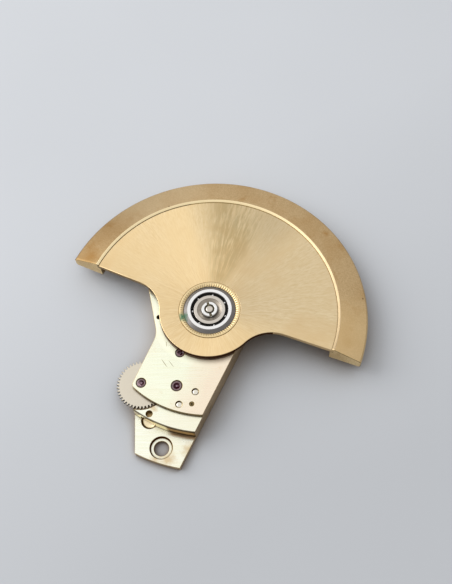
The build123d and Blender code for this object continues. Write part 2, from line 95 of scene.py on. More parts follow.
def node(owner, kind, inputs=(), output=0, **options):
    """Adds a node, fills its inputs by their number or name, and returns one of its outputs."""
    made = owner.node_tree.nodes.new("ShaderNode" + kind)
    for option, value in options.items():
        setattr(made, option, value)
    for key, value in inputs.items() if isinstance(inputs, dict) else enumerate(inputs):
        if isinstance(value, bpy.types.NodeSocket):
            owner.node_tree.links.new(value, made.inputs[key])
        else:
            made.inputs[key].default_value = linear(value) if isinstance(value, str) else value
    return made.outputs[output] if made.outputs else None


def started(name):
    """A new material, and the place on its piece that its patterns start from."""
    material = bpy.data.materials.new(name)
    material.use_nodes = True
    material.node_tree.nodes.clear()
    return material, node(material, "TexCoord", output="Object")


def finished(material, inputs):
    """Joins the surface shader to the material's output."""
    node(material, "OutputMaterial", {"Surface": node(material, "BsdfPrincipled", inputs)})
    print(material.name, "is made of", len(material.node_tree.nodes), "nodes")
    return material


def per_mm(spacing):
    """The scale of a pattern whose features are this many millimetres apart."""
    return 1 / (spacing * MM)


print("a pattern 0.11 mm apart has the scale", round(per_mm(0.11)))

# %% [markdown]
# ## Patterns that several finishes share
# A finish is seldom the same all over. It changes with the distance and the direction from the
# rotor's axis, or about a certain point, and corners are darkened with painted shade. Each of these
# is a small recipe of a few nodes. A pattern is a share from 0 to 1, and the first recipe lays a
# colour on by such a share.

# %% Shared patterns
def tinted(material, tone, colour, pattern, rise, way="MIX"):
    """Lays a colour over a tone. Rise holds the pattern's range and the shares at its two ends."""
    share = node(material, "MapRange", [pattern, *rise])
    return node(material, "Mix", {0: share, 6: tone, 7: colour}, 2, data_type="RGBA", blend_type=way)


def around_axis(material, place):
    """The distance from the rotor's axis, and the direction away from it."""
    flat = node(material, "VectorMath", [place, (1, 1, 0)], operation="MULTIPLY")
    radius = node(material, "VectorMath", [flat], "Value", operation="LENGTH")
    return radius, node(material, "VectorMath", [flat], operation="NORMALIZE")


def facing(material, ray, angle, edge):
    """1 where the direction from the axis is this angle, and 0 where it is turned from it by edge."""
    toward = (math.cos(math.radians(angle)), math.sin(math.radians(angle)), 0)
    along = node(material, "VectorMath", [ray, toward], "Value", operation="DOT_PRODUCT")
    rise = [along, math.cos(math.radians(edge)), 1, 0, 1]
    return node(material, "MapRange", rise, interpolation_type="SMOOTHSTEP")


def near(material, place, centre, radius):
    """1 about a point given in millimetres, with a ragged edge at the radius."""
    point = tuple(c * MM for c in centre)
    gap = node(material, "VectorMath", [place, point], "Value", operation="DISTANCE")
    inputs = {"Vector": place, "Scale": per_mm(radius * 0.5), "Detail": 4, "Roughness": 0.65}
    ragged = node(material, "TexNoise", inputs)
    gap = node(material, "Math", [ragged, radius * 1.2 * MM, gap], operation="MULTIPLY_ADD")
    return node(material, "MapRange", [gap, 0.7 * radius * MM, 1.5 * radius * MM, 1, 0])


def corner_shade(material, tone, reach, colour):
    """Darkens corners and hollows that ambient occlusion finds, as painted shade."""
    openness = node(material, "AmbientOcclusion", {"Distance": reach * MM}, "AO", samples=8)
    return tinted(material, tone, colour, openness, (0.35, 0.95, 0.85, 0))


print("a stain 1 mm wide gets a ragged edge from noise of scale", round(per_mm(0.5)))

# %% [markdown]
# ## Gilt brass, brushed as a sunburst
# The half-moon plate is brass, brushed outwards from its hub on a turntable and then gilded. The
# brush leaves straight rays. Each ray bends the light only sideways, which is why such a plate
# flashes in sectors as it turns. Noise that depends on the direction from the axis gives the rays,
# and an anisotropic shader gives the flash. Real rays are about 0.02 mm wide. They are drawn 0.05 to
# 0.2 mm wide, because finer ones would not show in the picture. Near the hub the brush bit deepest.

# %% Sunburst
# Each noise has its rays per radian, its detail and its roughness.
HAIR, STREAK, BITE, SECTOR = (150, 2, 0.6), (60, 3, 0.65), (40, 3, 0.65), (5, 2, 0.5)
TO_WORLD = {"vector_type": "VECTOR", "convert_from": "OBJECT", "convert_to": "WORLD"}


def sunburst(name, colour, dark, light):
    """Brass brushed away from the axis, with faint stains, specks of dust, and painted shade."""
    material, place = started(name)
    radius, ray = around_axis(material, place)
    # The noise changes a little outwards too, over 60 mm, so that no ray is a ruled line.
    outwards = node(material, "Math", [radius, per_mm(60)], operation="MULTIPLY")
    fan = node(material, "VectorMath", [ray, node(material, "CombineXYZ", {"Z": outwards})], operation="ADD")
    hair, streak, bite, sector = [
        node(material, "TexNoise", {"Vector": fan, "Scale": count, "Detail": detail, "Roughness": rough})
        for count, detail, rough in (HAIR, STREAK, BITE, SECTOR)
    ]
    cloud = node(material, "TexNoise", {"Vector": place, "Scale": per_mm(4), "Detail": 3, "Roughness": 0.6})
    both = node(material, "Math", [hair, streak], operation="ADD")
    rays = node(material, "Math", [both, 0.5], operation="MULTIPLY")
    tone = tinted(material, dark, light, rays, (0.38, 0.62, 0, 1))
    tone = tinted(material, tone, colour, sector, (0.35, 0.65, 0, 0.6))
    tone = tinted(material, tone, colour, cloud, (0.40, 0.62, 0, 0.6))
    by_hub = node(material, "MapRange", [radius, 2.6 * MM, 6 * MM, 0.20, 0])
    tone = tinted(material, tone, "#c99f63", bite, (0.44, 0.56, by_hub, 0))
    # Painted shade: three broad sectors are a little dimmer. Two of them fade towards the hub.
    outer = node(material, "MapRange", [radius, 3.5 * MM, 9 * MM, 0.10, 0.95])
    for shade, angle, edge, most in (
        ("#e0e2e6", 95, 34, outer), ("#eceff6", 40, 60, 1), ("#f4f3f2", 172, 50, outer),
    ):
        tone = tinted(material, tone, shade, facing(material, ray, angle, edge), (0, 1, 0, most), "MULTIPLY")
    # Ragged olive-brown patches darken the top sector further, over its painted shade.
    bitten = node(material, "Math", [bite, 0.6], operation="MULTIPLY")
    smear = node(material, "Math", [cloud, 0.4, bitten], operation="MULTIPLY_ADD")
    stain = node(material, "MapRange", [smear, 0.42, 0.58, 0, 0.42])
    tone = tinted(material, tone, "#8f7d4c", facing(material, ray, 98, 20), (0, 1, 0, stain))
    tone = tinted(material, tone, "#c08f4c", cloud, (0.52, 0.75, 0, 0.18))
    tone = corner_shade(material, tone, 0.08, "#8a6a3a")
    dust = node(material, "TexVoronoi", {"Vector": place, "Scale": per_mm(3.4)})
    tone = tinted(material, tone, "#fff6df", dust, (0.016, 0.024, 0.8, 0))
    around = node(material, "VectorMath", [(0, 0, 1), ray], operation="CROSS_PRODUCT")
    inputs = {
        "Base Color": tone,
        "Metallic": 1.0,
        "Roughness": node(material, "MapRange", [rays, 0.35, 0.65, 0.34, 0.28]),
        "Anisotropic": 0.5,
        "Tangent": node(material, "VectorTransform", [around], **TO_WORLD),
        "Normal": node(material, "Bump", {"Height": rays, "Strength": 0.26, "Distance": 0.010 * MM}),
    }
    return finished(material, inputs)


gilt_sunburst = sunburst("gilt_brass_sunburst_brushed", "#f1d5a2", "#e6c995", "#fae2b5")

# %% [markdown]
# ## Gilt brass, satin
# The heavy rim was blasted to a satin, so it scatters light evenly and looks darker and browner
# than the brushed plate. Real blasting leaves pits of about 0.03 mm. They are drawn 0.11 mm wide, so
# that they show. Handling has left brown tarnish in patches and a few dark specks. The same recipe,
# paler or darker, serves for cut ends and for milled flanks that were never polished.

# %% Satin
def satin(name, colour, dark, tarnish, patches=(), shaded_side=None):
    """Blasted or milled brass, with painted shade in corners. Shaded side is the direction painted darker,
    as painted shade.
    """
    material, place = started(name)
    grain, cloud, patch = [
        node(material, "TexNoise", {"Vector": place, "Scale": scale, "Detail": detail, "Roughness": rough})
        for scale, detail, rough in ((per_mm(0.11), 2, 0.6), (per_mm(3.2), 4, 0.6), (per_mm(1.3), 4, 0.65))
    ]
    speck = node(material, "TexVoronoi", {"Vector": place, "Scale": per_mm(1.7)})
    tone = tinted(material, dark, colour, grain, (0.35, 0.65, 0, 1))
    tone = tinted(material, tone, tarnish, cloud, (0.45, 0.72, 0, 0.40))
    tone = tinted(material, tone, tarnish, patch, (0.58, 0.74, 0, 0.55))
    for centre, radius in patches:
        tone = tinted(material, tone, tarnish, near(material, place, centre, radius), (0, 1, 0, 0.7))
    # Painted light: darker towards the shaded side, a little paler beside it, brighter gold opposite.
    if shaded_side:
        ray = around_axis(material, place)[1]
        side_shade, side_sheen, far_side_sheen = [
            facing(material, ray, shaded_side + offset, edge) for offset, edge in ((0, 70), (-50, 26), (175, 32))
        ]
        tone = tinted(material, tone, "#d2cec8", side_shade, (0, 1, 0, 1), "MULTIPLY")
        tone = tinted(material, tone, "#e9d8b4", side_sheen, (0, 1, 0, 0.22))
        tone = tinted(material, tone, "#f0d29c", far_side_sheen, (0, 1, 0, 0.45))
    tone = tinted(material, tone, "#5d3f1c", speck, (0.03, 0.06, 0.6, 0))
    inputs = {
        "Base Color": corner_shade(material, tone, 0.12, "#3d2a14"),
        "Metallic": 1.0,
        "Roughness": node(material, "MapRange", [grain, 0.2, 0.8, 0.40, 0.52]),
        "Normal": node(material, "Bump", {"Height": grain, "Strength": 0.3, "Distance": 0.012 * MM}),
    }
    return finished(material, inputs)


RIM_PATCHES = [
    ((-9.9, 5.4, 2.3), 0.6), ((-11.2, 1.0, 2.2), 1.1), ((6.3, 10.4, 2.3), 0.45), ((11.2, 1.4, 2.2), 0.8),
]
gilt_satin = satin("gilt_brass_satin_blasted", "#cfb388", "#bda073", "#ad8245", RIM_PATCHES, shaded_side=185)
gilt_cut = satin("gilt_brass_cut_end", "#f2d9a8", "#dfc28b", "#b18a50")
gilt_edge = satin("gilt_brass_worn_edge", "#c8b283", "#ad9564", "#7c6232")
gilt_milled = satin("gilt_brass_milled_flank", "#d6bf9f", "#bca684", "#8f7850")
gilt_stamped = satin("gilt_brass_stamped_flank", "#a08b5e", "#7d6a42", "#4f3d1e")

# %% [markdown]
# ## Turned surfaces
# The rim's inner bevel, the hub bush and the bearing rings were cut with a sharp lathe tool: smooth
# metal with faint rings, 0.05 mm apart as on the real part, from the feed of the tool. The rings
# stretch the highlight outwards. Where sweat or flux stayed between bush and ring, copper salts have
# left a green crust, verdigris.

# %% Turned
VERDIGRIS_PLACE, VERDIGRIS_RADIUS = (-1.76, -1.44, 2.64), 0.58


def turned(name, colour, roughness, dark_share, feed_gap=0.05, corner=0.15, shade_towards=None, crusted=False):
    """Metal off a lathe, with painted shade in corners. Shade towards is the direction painted darker, as
    painted shade.
    """
    material, place = started(name)
    radius, ray = around_axis(material, place)
    rings = node(material, "Math", [radius, per_mm(feed_gap)], operation="MULTIPLY")
    inputs = {"Vector": node(material, "CombineXYZ", [rings]), "Scale": 1, "Detail": 2, "Roughness": 0.6}
    feed = node(material, "TexNoise", inputs)
    inputs = {"Vector": place, "Scale": per_mm(0.7), "Detail": 3, "Roughness": 0.6}
    cloud = node(material, "TexNoise", inputs)
    shade = [channel * dark_share for channel in linear(colour)[:3]] + [1.0]
    tone = tinted(material, colour, shade, feed, (0.35, 0.65, 0.7, 0))
    tone = tinted(material, tone, shade, cloud, (0.45, 0.70, 0, 0.4))
    tone = corner_shade(material, tone, corner, "#1d1712")
    if shade_towards is not None:
        tone = tinted(material, tone, "#b5aeab", facing(material, ray, shade_towards, 85), (0, 1, 0, 1), "MULTIPLY")
    inputs = {
        "Base Color": tone,
        "Metallic": 1.0,
        "Roughness": node(material, "MapRange", [cloud, 0.3, 0.7, roughness, roughness + 0.08]),
        "Anisotropic": 0.4,
        "Tangent": node(material, "VectorTransform", [ray], **TO_WORLD),
        "Normal": node(material, "Bump", {"Height": feed, "Strength": 0.3, "Distance": 0.006 * MM}),
    }
    if crusted:
        crust = near(material, place, VERDIGRIS_PLACE, VERDIGRIS_RADIUS)
        noise_inputs = {"Vector": place, "Scale": per_mm(0.07), "Detail": 3, "Roughness": 0.7}
        crumbs = node(material, "TexNoise", noise_inputs)
        green = tinted(material, "#1f5a3c", "#6fa37a", crumbs, (0, 1, 0, 1))
        inputs["Base Color"] = tinted(material, tone, green, crust, (0, 1, 0, 1))
        inputs["Metallic"] = node(material, "Math", [1.0, crust], operation="SUBTRACT")
        inputs["Roughness"] = node(material, "MapRange", [crust, 0, 1, roughness, 0.85])
    return finished(material, inputs)


gilt_bright = turned("gilt_brass_turned_bright", "#efd6a4", 0.36, 0.90, corner=0.04, crusted=True)
# The bevel is painted darker towards the right, as painted shade.
gilt_bevel = turned("gilt_brass_diamond_cut_bevel", "#ffeabb", 0.36, 0.95, corner=0.01, shade_towards=2)
steel_polished = turned("hardened_steel_polished", "#fbfaf7", 0.12, 0.93, feed_gap=0.06)
steel_ground = turned("hardened_steel_ground_grey", "#8b8784", 0.46, 0.75, crusted=True)
steel_turned = turned("bearing_steel_turned", "#a79d90", 0.34, 0.60)
steel_lapped = turned("bearing_steel_lapped", "#dad2c6", 0.26, 0.80)
steel_pivot = turned("pivot_steel_burnished", "#9c7f8c", 0.22, 0.72)
steel_end = turned("screw_steel_end_polished", "#f2ecdc", 0.22, 0.85, corner=0.02)
steel_flank = turned("wheel_steel_cut_flank", "#6f675a", 0.60, 0.70)
# Painted shade for the nut's recess and slot.
steel_recess_shade = turned("steel_painted_recess_shade", "#958c74", 0.55, 0.60)

# %% [markdown]
# ## Scratch
# A tool has slipped on the upper plate near the hub and left three thin marks. A scratch is a
# straight line, so its share needs only the distance across the line and the distance along it:
# full on the line, and fading out towards both ends.

# %% Scratch
def scratch(material, place, start, end, width):
    """1 on a thin straight mark between two points of a level face, given in millimetres."""
    line = Vector(end) - Vector(start)
    middle = (*((Vector(end) + Vector(start)) / 2 * MM), 0)
    inputs = {"Vector": place, "Location": middle, "Rotation": (0, 0, math.atan2(line.y, line.x))}
    mapped = node(material, "Mapping", inputs, vector_type="TEXTURE")
    axes = node(material, "SeparateXYZ", [mapped]).node.outputs
    along, gap = [node(material, "Math", [axes[axis]], operation="ABSOLUTE") for axis in "XY"]
    thin = node(material, "MapRange", [gap, width / 4 * MM, width / 2 * MM, 0.75, 0])
    half = line.length / 2 * MM
    return node(material, "MapRange", [along, 0.4 * half, half, thin, 0])


COVER_SCRATCHES = [
    ((-2.01, -5.16), (-1.23, -5.65), 0.07),
    ((-1.43, -5.05), (-0.74, -5.45), 0.05),
    ((-2.3, -3.6), (-2.0, -4.1), 0.06),
]
print("scratches are up to", round(max(math.dist(a, b) for a, b, _ in COVER_SCRATCHES), 2), "mm long")

# %% [markdown]
# ## Pale gilt brass, straight brushed
# The two bridge plates carry a thinner, paler gilding over straight graining. The grain runs
# across the bridge, so noise is stretched along one direction and squeezed across it. Real grain is
# about 0.02 mm wide and is drawn 0.07 mm wide, so that it shows. Painted shade darkens the foot's
# corner, the edge of the step, the ring where the rotor's hub ends and the plates' corners. Under
# the rotor, out of the light, the plates are matt.

# %% Straight brushed
def stretched(material, place, angle, along, across):
    """The place measured along a direction and across it, in pattern lengths."""
    rotated = node(material, "Mapping", {"Vector": place, "Rotation": (0, 0, -math.radians(angle))})
    scale = (per_mm(along), per_mm(across), per_mm(across))
    return node(material, "Mapping", {"Vector": rotated, "Scale": scale})


def straight_brushed(
    name, colour, dark, warm, angle, drift, oil_stains=(), scratches=(), depth=0.008, step=None, hub=None,
    gloss=(0.22, 0.31),
):
    """Brushed along one direction, with painted shade in corners. Drift is how much of the warm colour
    gathers at the right.
    """
    material, place = started(name)
    radius = around_axis(material, place)[0]
    axes = node(material, "SeparateXYZ", [place]).node.outputs
    grain, bands, cloud, spot = [
        node(material, "TexNoise", {"Vector": vector, "Scale": scale, "Detail": detail, "Roughness": rough})
        for vector, scale, detail, rough in (
            (stretched(material, place, angle, 2.4, 0.07), 1, 3, 0.6),
            (stretched(material, place, angle, 7.0, 0.45), 1, 2, 0.5),
            (place, per_mm(3.0), 3, 0.55),
            (place, per_mm(0.9), 4, 0.6),
        )
    ]
    tone = tinted(material, dark, colour, grain, (0.35, 0.65, 0, 1))
    tone = tinted(material, tone, colour, bands, (0.4, 0.7, 0, 0.5))
    tone = tinted(material, tone, warm, cloud, (0.45, 0.70, 0, 0.22))
    ragged = node(material, "Math", [cloud, 2 * MM, axes["X"]], operation="MULTIPLY_ADD")
    tone = tinted(material, tone, warm, ragged, (0.8 * MM, 3.6 * MM, 0, drift))
    tone = tinted(material, tone, "#dcbd7c", spot, (0.64, 0.76, 0, 0.30))
    for centre, size in oil_stains:
        tone = tinted(material, tone, "#c89a45", near(material, place, centre, size), (0, 1, 0, 0.55))
    for start, end, width in scratches:
        mark = scratch(material, place, start, end, width)
        tone = tinted(material, tone, "#8f7c4e", mark, (0, 1, 0, 1))
    if step:
        # Painted shade: a dark line along the step's upper edge, and a brown one in the corner at its foot.
        on_top = node(material, "MapRange", [axes["Z"], 1.4 * MM, 1.6 * MM, 0, 0.85])
        rise = ((step - 0.09) * MM, (step - 0.06) * MM, 0, on_top)
        tone = tinted(material, tone, "#4a3512", radius, rise)
        at_right = node(material, "MapRange", [axes["X"], 0.6 * MM, 1.1 * MM, 0, 0.80])
        corner = node(material, "MapRange", [radius, (step + 0.14) * MM, (step + 0.36) * MM, at_right, 0])
        tone = tinted(material, tone, "#8f6a3c", axes["Z"], (0.7 * MM, 0.8 * MM, corner, 0))
    # Painted shade: a dark brown ring where the rotor's hub ends and shades the plate.
    if hub:
        tone = tinted(material, tone, "#6a3c0c", radius, (hub * MM, (hub + 0.06) * MM, 0.75, 0))
    brushed = node(material, "MapRange", [grain, 0.25, 0.75, *gloss])
    matt = node(material, "MapRange", [radius, 4.3 * MM, 4.9 * MM, 0.22, 0])
    inputs = {
        "Base Color": corner_shade(material, tone, 0.18, "#4b3a1c"),
        "Metallic": 1.0,
        "Roughness": node(material, "Math", [brushed, matt], operation="ADD"),
        "Normal": node(material, "Bump", {"Height": grain, "Strength": 0.3, "Distance": depth * MM}),
    }
    return finished(material, inputs)


# %% The bridge's brass
BRUSH_ANGLE = 22
BASE_STAINS = [
    ((1.5, -12.0, 0.6), 0.9), ((-0.9, -9.0, 1.7), 0.5), ((0.7, -12.4, 0.6), 0.6), ((2.9, -10.7, 0.6), 0.9),
]
gilt_brushed = straight_brushed(
    "pale_gilt_brass_brushed", "#fefff1", "#fcfde2", "#fcf0cc", BRUSH_ANGLE, 0.25, BASE_STAINS, step=10.0
)
gilt_cover = straight_brushed(
    "pale_gilt_brass_brushed_cover", "#fdffe9", "#fafbdc", "#fce7ce", BRUSH_ANGLE, 0.75,
    scratches=COVER_SCRATCHES, hub=4.12,
)
gilt_spot = straight_brushed("gilt_brass_spot_faced", "#fff0c9", "#fbe9be", "#fbe2b0", BRUSH_ANGLE, 0)

# %% The wheels' steel
steel_grained = straight_brushed(
    "nickel_steel_fine_grained", "#dbd2c0", "#d8cfbc", "#d3c6b0", 70, 0.3, depth=0.0005, gloss=(0.28, 0.29)
)

# %% [markdown]
# ## The turned step
# The wall between the lower plate and its foot was turned bright. Its left half is bright and glossy,
# its right half dark brown with a paler band half way up, and a band of painted shade lies under the
# upper edge. Height and side are read from the place on the piece, and noise makes their limits wander.

# %% Turned step
def step_wall(name, colour, dark, left_tone):
    """A turned wall: bright on the left, dark brown on the right, with a paler band half way up."""
    material, place = started(name)
    axes = node(material, "SeparateXYZ", [place]).node.outputs
    smear = node(
        material, "TexNoise", {"Vector": place, "Scale": per_mm(0.5), "Detail": 4, "Roughness": 0.65}
    )
    height = node(material, "Math", [smear, 0.30 * MM, axes["Z"]], operation="MULTIPLY_ADD")
    side = node(material, "Math", [smear, 0.4 * MM, axes["X"]], operation="MULTIPLY_ADD")
    low = node(material, "MapRange", [height, 0.95 * MM, 1.20 * MM, 0, 1])
    tone = tinted(material, dark, colour, height, (1.50 * MM, 1.75 * MM, low, 0))
    tone = tinted(material, tone, left_tone, side, (0.70 * MM, 1.00 * MM, 1, 0))
    # Painted shade: a dark band under the upper edge.
    tone = tinted(material, tone, "#2c1a04", axes["Z"], (1.42 * MM, 1.56 * MM, 0, 0.92))
    inputs = {
        "Base Color": tone,
        "Metallic": 1.0,
        "Roughness": node(material, "MapRange", [side, 0.70 * MM, 1.00 * MM, 0.09, 0.36]),
        "Normal": node(material, "Bump", {"Height": smear, "Strength": 0.2, "Distance": 0.01 * MM}),
    }
    return finished(material, inputs)


gilt_step_wall = step_wall("gilt_brass_turned_step", "#b8925c", "#4f3615", "#fff0c4")

# %% [markdown]
# ## Black steel, and brass painted dark as shade
# The cage is drawn black, with metallic at 0, and the same black is painted as shade on one steady
# pin and in the other one's dimple. Brass faces that lie in shade, such as the rotor hub's wall and
# the walls of small holes, are painted dark brown by the same recipe, as painted shade. The layer's
# unevenness is drawn 0.1 mm wide, so that it shows. Both layers have little gloss, for both lie in the dark.

# %% Dark layers
def dark_layer(name, colour, soot_colour, gloss):
    """A dark layer that is a little uneven."""
    material, place = started(name)
    soot = node(material, "TexNoise", {"Vector": place, "Scale": per_mm(0.1), "Detail": 3, "Roughness": 0.6})
    inputs = {
        "Base Color": tinted(material, colour, soot_colour, soot, (0, 1, 0, 1)),
        "Roughness": node(material, "MapRange", [soot, 0.3, 0.7, 0.45, 0.65]),
        "Specular IOR Level": gloss,
    }
    return finished(material, inputs)


black_steel_and_shade = dark_layer("steel_black_and_painted_shade", "#080706", "#1c1a18", 0.12)
gilt_painted_shade = dark_layer("gilt_brass_painted_shade", "#4c2505", "#2e1302", 0.02)

# %% [markdown]
# ## Ruby
# Hole jewels are synthetic ruby, corundum with an index of 1.77. The flat was lapped, so it has a
# mauve-grey sheen over the red. The hollow is polished, so it stays nearly black-red. A pink
# crescent on one side of the hollow is a painted highlight, and the rounded rim is painted dark
# brown, as painted shade. The jewel at the left is a paler stone.

# %% Ruby
PALE_STONE_PLACE, PALE_STONE_RADIUS = (-2.75, -7.65, 2.0), 0.35


def ruby(name, colour, deep, roughness, gloss):
    """Synthetic ruby, slightly cloudy, with painted shade in corners."""
    material, place = started(name)
    cloud = node(
        material, "TexNoise", {"Vector": place, "Scale": per_mm(0.2), "Detail": 2, "Roughness": 0.5}
    )
    tone = tinted(material, colour, deep, cloud, (0.35, 0.65, 0, 1))
    paler = near(material, place, PALE_STONE_PLACE, PALE_STONE_RADIUS)
    tone = tinted(material, tone, "#d9bcc4", paler, (0, 1, 0, 0.55))
    inputs = {
        "Base Color": corner_shade(material, tone, 0.06, "#1c0f0a"),
        "Roughness": node(material, "MapRange", [cloud, 0.3, 0.7, roughness, roughness + 0.05]),
        "IOR": 1.77,
        "Specular IOR Level": gloss,
    }
    return finished(material, inputs)


# The crescent is a painted highlight, and the dark rim is painted shade.
ruby_polished = ruby("ruby_polished_hollow", "#43081f", "#25040d", 0.05, 0.15)
ruby_lapped = ruby("ruby_lapped_flat", "#7b5a5c", "#5c4042", 0.20, 0.6)
ruby_painted_crescent = ruby("ruby_painted_highlight_crescent", "#e6bccd", "#c98ea6", 0.10, 0.5)
ruby_shaded_rim = ruby("ruby_rim_painted_shade", "#4a3a2a", "#2a1c12", 0.25, 0.3)

# %% [markdown]
# ## Building pieces
# All pieces are drawn in millimetres and shrunk to metres at the end, because Blender's curve and
# boolean tools are at their best near that size. Watch parts are turned, stamped or milled, so there
# is a helper for each way: one turns a profile as a lathe does, one fills an outline with holes as a
# press does, and one cuts a blank with cutters. The last one rounds the edges, as real ones are.

# %% Outlines
def polar(radius, angle):
    """A point from its radius and its angle in degrees."""
    return radius * math.cos(math.radians(angle)), radius * math.sin(math.radians(angle))


def arc(radius, start, end, steps, x=0, y=0):
    """Points on an arc, both ends among them."""
    angles = [start + (end - start) * step / steps for step in range(steps + 1)]
    return [(x + px, y + py) for px, py in (polar(radius, angle) for angle in angles)]


def circle(radius, steps, x=0, y=0):
    """Points on a full circle."""
    return arc(radius, 0, 360, steps, x, y)[:-1]


def eased(points, ease, steps=3, most=0.45):
    """The closed outline with each corner rounded off, over no more than this share of a side."""
    corners = [Vector(point) for point in points]
    made = []
    for place, corner in enumerate(corners):
        back = corners[place - 1] - corner
        ahead = corners[(place + 1) % len(corners)] - corner
        reach = min(ease / math.tan(back.angle(ahead) / 2), most * back.length, most * ahead.length)
        first, last = corner + back.normalized() * reach, corner + ahead.normalized() * reach
        for step in range(steps + 1):
            t = step / steps
            made.append(tuple(first * (1 - t) ** 2 + corner * 2 * t * (1 - t) + last * t**2))
    return made


print("a square with eased corners has", len(eased([(0, 0), (1, 0), (1, 1), (0, 1)], 0.1)), "points")

# %% Lathe
def lathe(points, steps, start=0, sweep=360, wobble=None):
    """Turns a closed profile of radius and height about the Z axis."""
    bm = bmesh.new()
    full = sweep == 360
    rings = []
    for step in range(steps if full else steps + 1):
        angle = start + sweep * step / steps
        shift = wobble(step) if wobble else {}
        shifts = [shift.get(k, (0, 0)) for k in range(len(points))]
        rings.append(
            [bm.verts.new((*polar(r + dr, angle), z + dz)) for (r, z), (dr, dz) in zip(points, shifts)]
        )
    pairs = zip(rings, rings[1:] + rings[:1]) if full else zip(rings, rings[1:])
    for first, second in pairs:
        for k in range(len(points)):
            n = (k + 1) % len(points)
            corners = [first[k], first[n], second[n], second[k]]
            if points[k][0] == 0 and points[n][0] == 0:
                continue
            if points[k][0] == 0:
                corners = corners[:3]
            elif points[n][0] == 0:
                corners = [first[k], first[n], second[k]]
            bm.faces.new(corners)
    if not full:
        bm.faces.new(rings[0])
        bm.faces.new(list(reversed(rings[-1])))
    return bm


washer = lathe([(1, 0), (2, 0), (2, 1), (1, 1)], 24)
print("a washer turned in 24 steps has", len(washer.faces), "faces")
washer.free()

# %% Press
def stamped(outline, holes, low, high, ease):
    """A flat plate with holes and rounded edges, from a filled curve."""
    curve = bpy.data.curves.new("stamped", "CURVE")
    curve.dimensions = "2D"
    curve.fill_mode = "BOTH"
    curve.extrude = (high - low) / 2 - ease
    curve.bevel_depth = ease
    curve.bevel_resolution = 2
    curve.offset = -ease
    for points in [outline, *holes]:
        spline = curve.splines.new("POLY")
        spline.points.add(len(points) - 1)
        spline.points.foreach_set("co", [c for x, y in points for c in (x, y, 0, 1)])
        spline.use_cyclic_u = True
    holder = bpy.data.objects.new("stamped", curve)
    bpy.context.scene.collection.objects.link(holder)
    bpy.context.view_layer.update()
    shape = bpy.data.meshes.new_from_object(holder)
    bpy.data.objects.remove(holder)
    bpy.data.curves.remove(curve)
    bm = bmesh.new()
    bm.from_mesh(shape)
    bmesh.ops.translate(bm, verts=bm.verts, vec=(0, 0, (low + high) / 2))
    return bm


def prism(outline, low, high):
    """A plain solid from an outline."""
    bm = bmesh.new()
    bottom = bm.faces.new([bm.verts.new((x, y, low)) for x, y in outline])
    made = bmesh.ops.extrude_face_region(bm, geom=[bottom])["geom"]
    risen = [part for part in made if isinstance(part, bmesh.types.BMVert)]
    bmesh.ops.translate(bm, verts=risen, vec=(0, 0, high - low))
    return bm


coin = prism(circle(1, 24), 0, 1)
print("a coin with 24 sides has", len(coin.faces), "faces")
coin.free()

# %% [markdown]
# ## Closed meshes, cuts and eased edges
# Blender's boolean and bevel tools are modifiers of an object, so a mesh is put on a scratch object,
# the modifier is worked out, and the result comes back as a mesh. Each mesh is closed and turned
# outwards first, for the tools need that. Level faces are shaded flat, because smooth shading would
# smear over the long thin triangles that a cut leaves in them.

# %% Closed meshes
SHARP_ANGLE = math.radians(42)
LEVEL, MERGE_GAP = 0.9999, 1e-5


def to_mesh(bm, name):
    """Closes a bmesh: merged points, filled gaps, outward faces, sharp edges marked."""
    bmesh.ops.remove_doubles(bm, verts=bm.verts, dist=MERGE_GAP)
    bmesh.ops.holes_fill(bm, edges=[edge for edge in bm.edges if edge.is_boundary])
    bmesh.ops.recalc_face_normals(bm, faces=bm.faces)
    if bm.calc_volume(signed=True) < 0:
        bmesh.ops.reverse_faces(bm, faces=bm.faces)
    for face in bm.faces:
        face.smooth = abs(face.normal.z) < LEVEL
    for edge in bm.edges:
        edge.smooth = not (edge.is_manifold and edge.calc_face_angle(0) > SHARP_ANGLE)
    mesh = bpy.data.meshes.new(name)
    bm.to_mesh(mesh)
    bm.free()
    return mesh


print("edges are sharp from", round(math.degrees(SHARP_ANGLE)), "degrees, and faces flat when level")

# %% Cuts and eased edges
def holder_of(bm, name):
    """A scratch object for the modifiers to work on."""
    made = bpy.data.objects.new(name, to_mesh(bm, name))
    bpy.context.scene.collection.objects.link(made)
    return made


def applied(holder):
    """The mesh of an object after its modifiers, as a bmesh. The object goes."""
    bpy.context.view_layer.update()
    shape = bpy.data.meshes.new_from_object(holder.evaluated_get(bpy.context.evaluated_depsgraph_get()))
    bm = bmesh.new()
    bm.from_mesh(shape)
    bpy.data.objects.remove(holder)
    return bm


def cut(bm, tools, operation="DIFFERENCE"):
    """Cuts a solid with other solids, or keeps what they share."""
    body = holder_of(bm, "body")
    for tool in tools:
        cutter = holder_of(tool, "cutter")
        step = body.modifiers.new("cut", "BOOLEAN")
        step.operation = operation
        step.solver = "EXACT"
        step.object = cutter
        body_bm = applied(body)
        bpy.data.objects.remove(cutter)
        body = holder_of(body_bm, "body")
    return applied(body)


def broken_edges(bm, width, angle=40):
    """Rounds every edge that is sharper than the angle."""
    body = holder_of(bm, "body")
    step = body.modifiers.new("edges", "BEVEL")
    step.limit_method = "ANGLE"
    step.angle_limit = math.radians(angle)
    step.width = width
    step.segments = 2
    step.use_clamp_overlap = False
    step.miter_outer = "MITER_ARC"
    return applied(body)


eased_cube = bmesh.new()
bmesh.ops.create_cube(eased_cube, size=1)
eased_cube = broken_edges(eased_cube, 0.1)
print("a cube with broken edges has", len(eased_cube.faces), "faces")
eased_cube.free()

# %% [markdown]
# ## From a mesh to a piece of the object
# A piece takes the place of one CAD node and rides on that node's body, so that it moves with it.
# Real parts have more than one finish, for a tool reaches only some of their faces. So a piece's
# finish is a function from the middle and direction of a face to its material. The heights of the
# CAD nodes are read, so that both models stay the same.

# %% Pieces
def heights(cad_node):
    """The lowest and the highest point of a CAD node, in millimetres."""
    return [corner.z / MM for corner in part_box(cad_node)]


def steep(normal):
    """Whether a face stands nearly upright."""
    return abs(normal.z) < 0.5


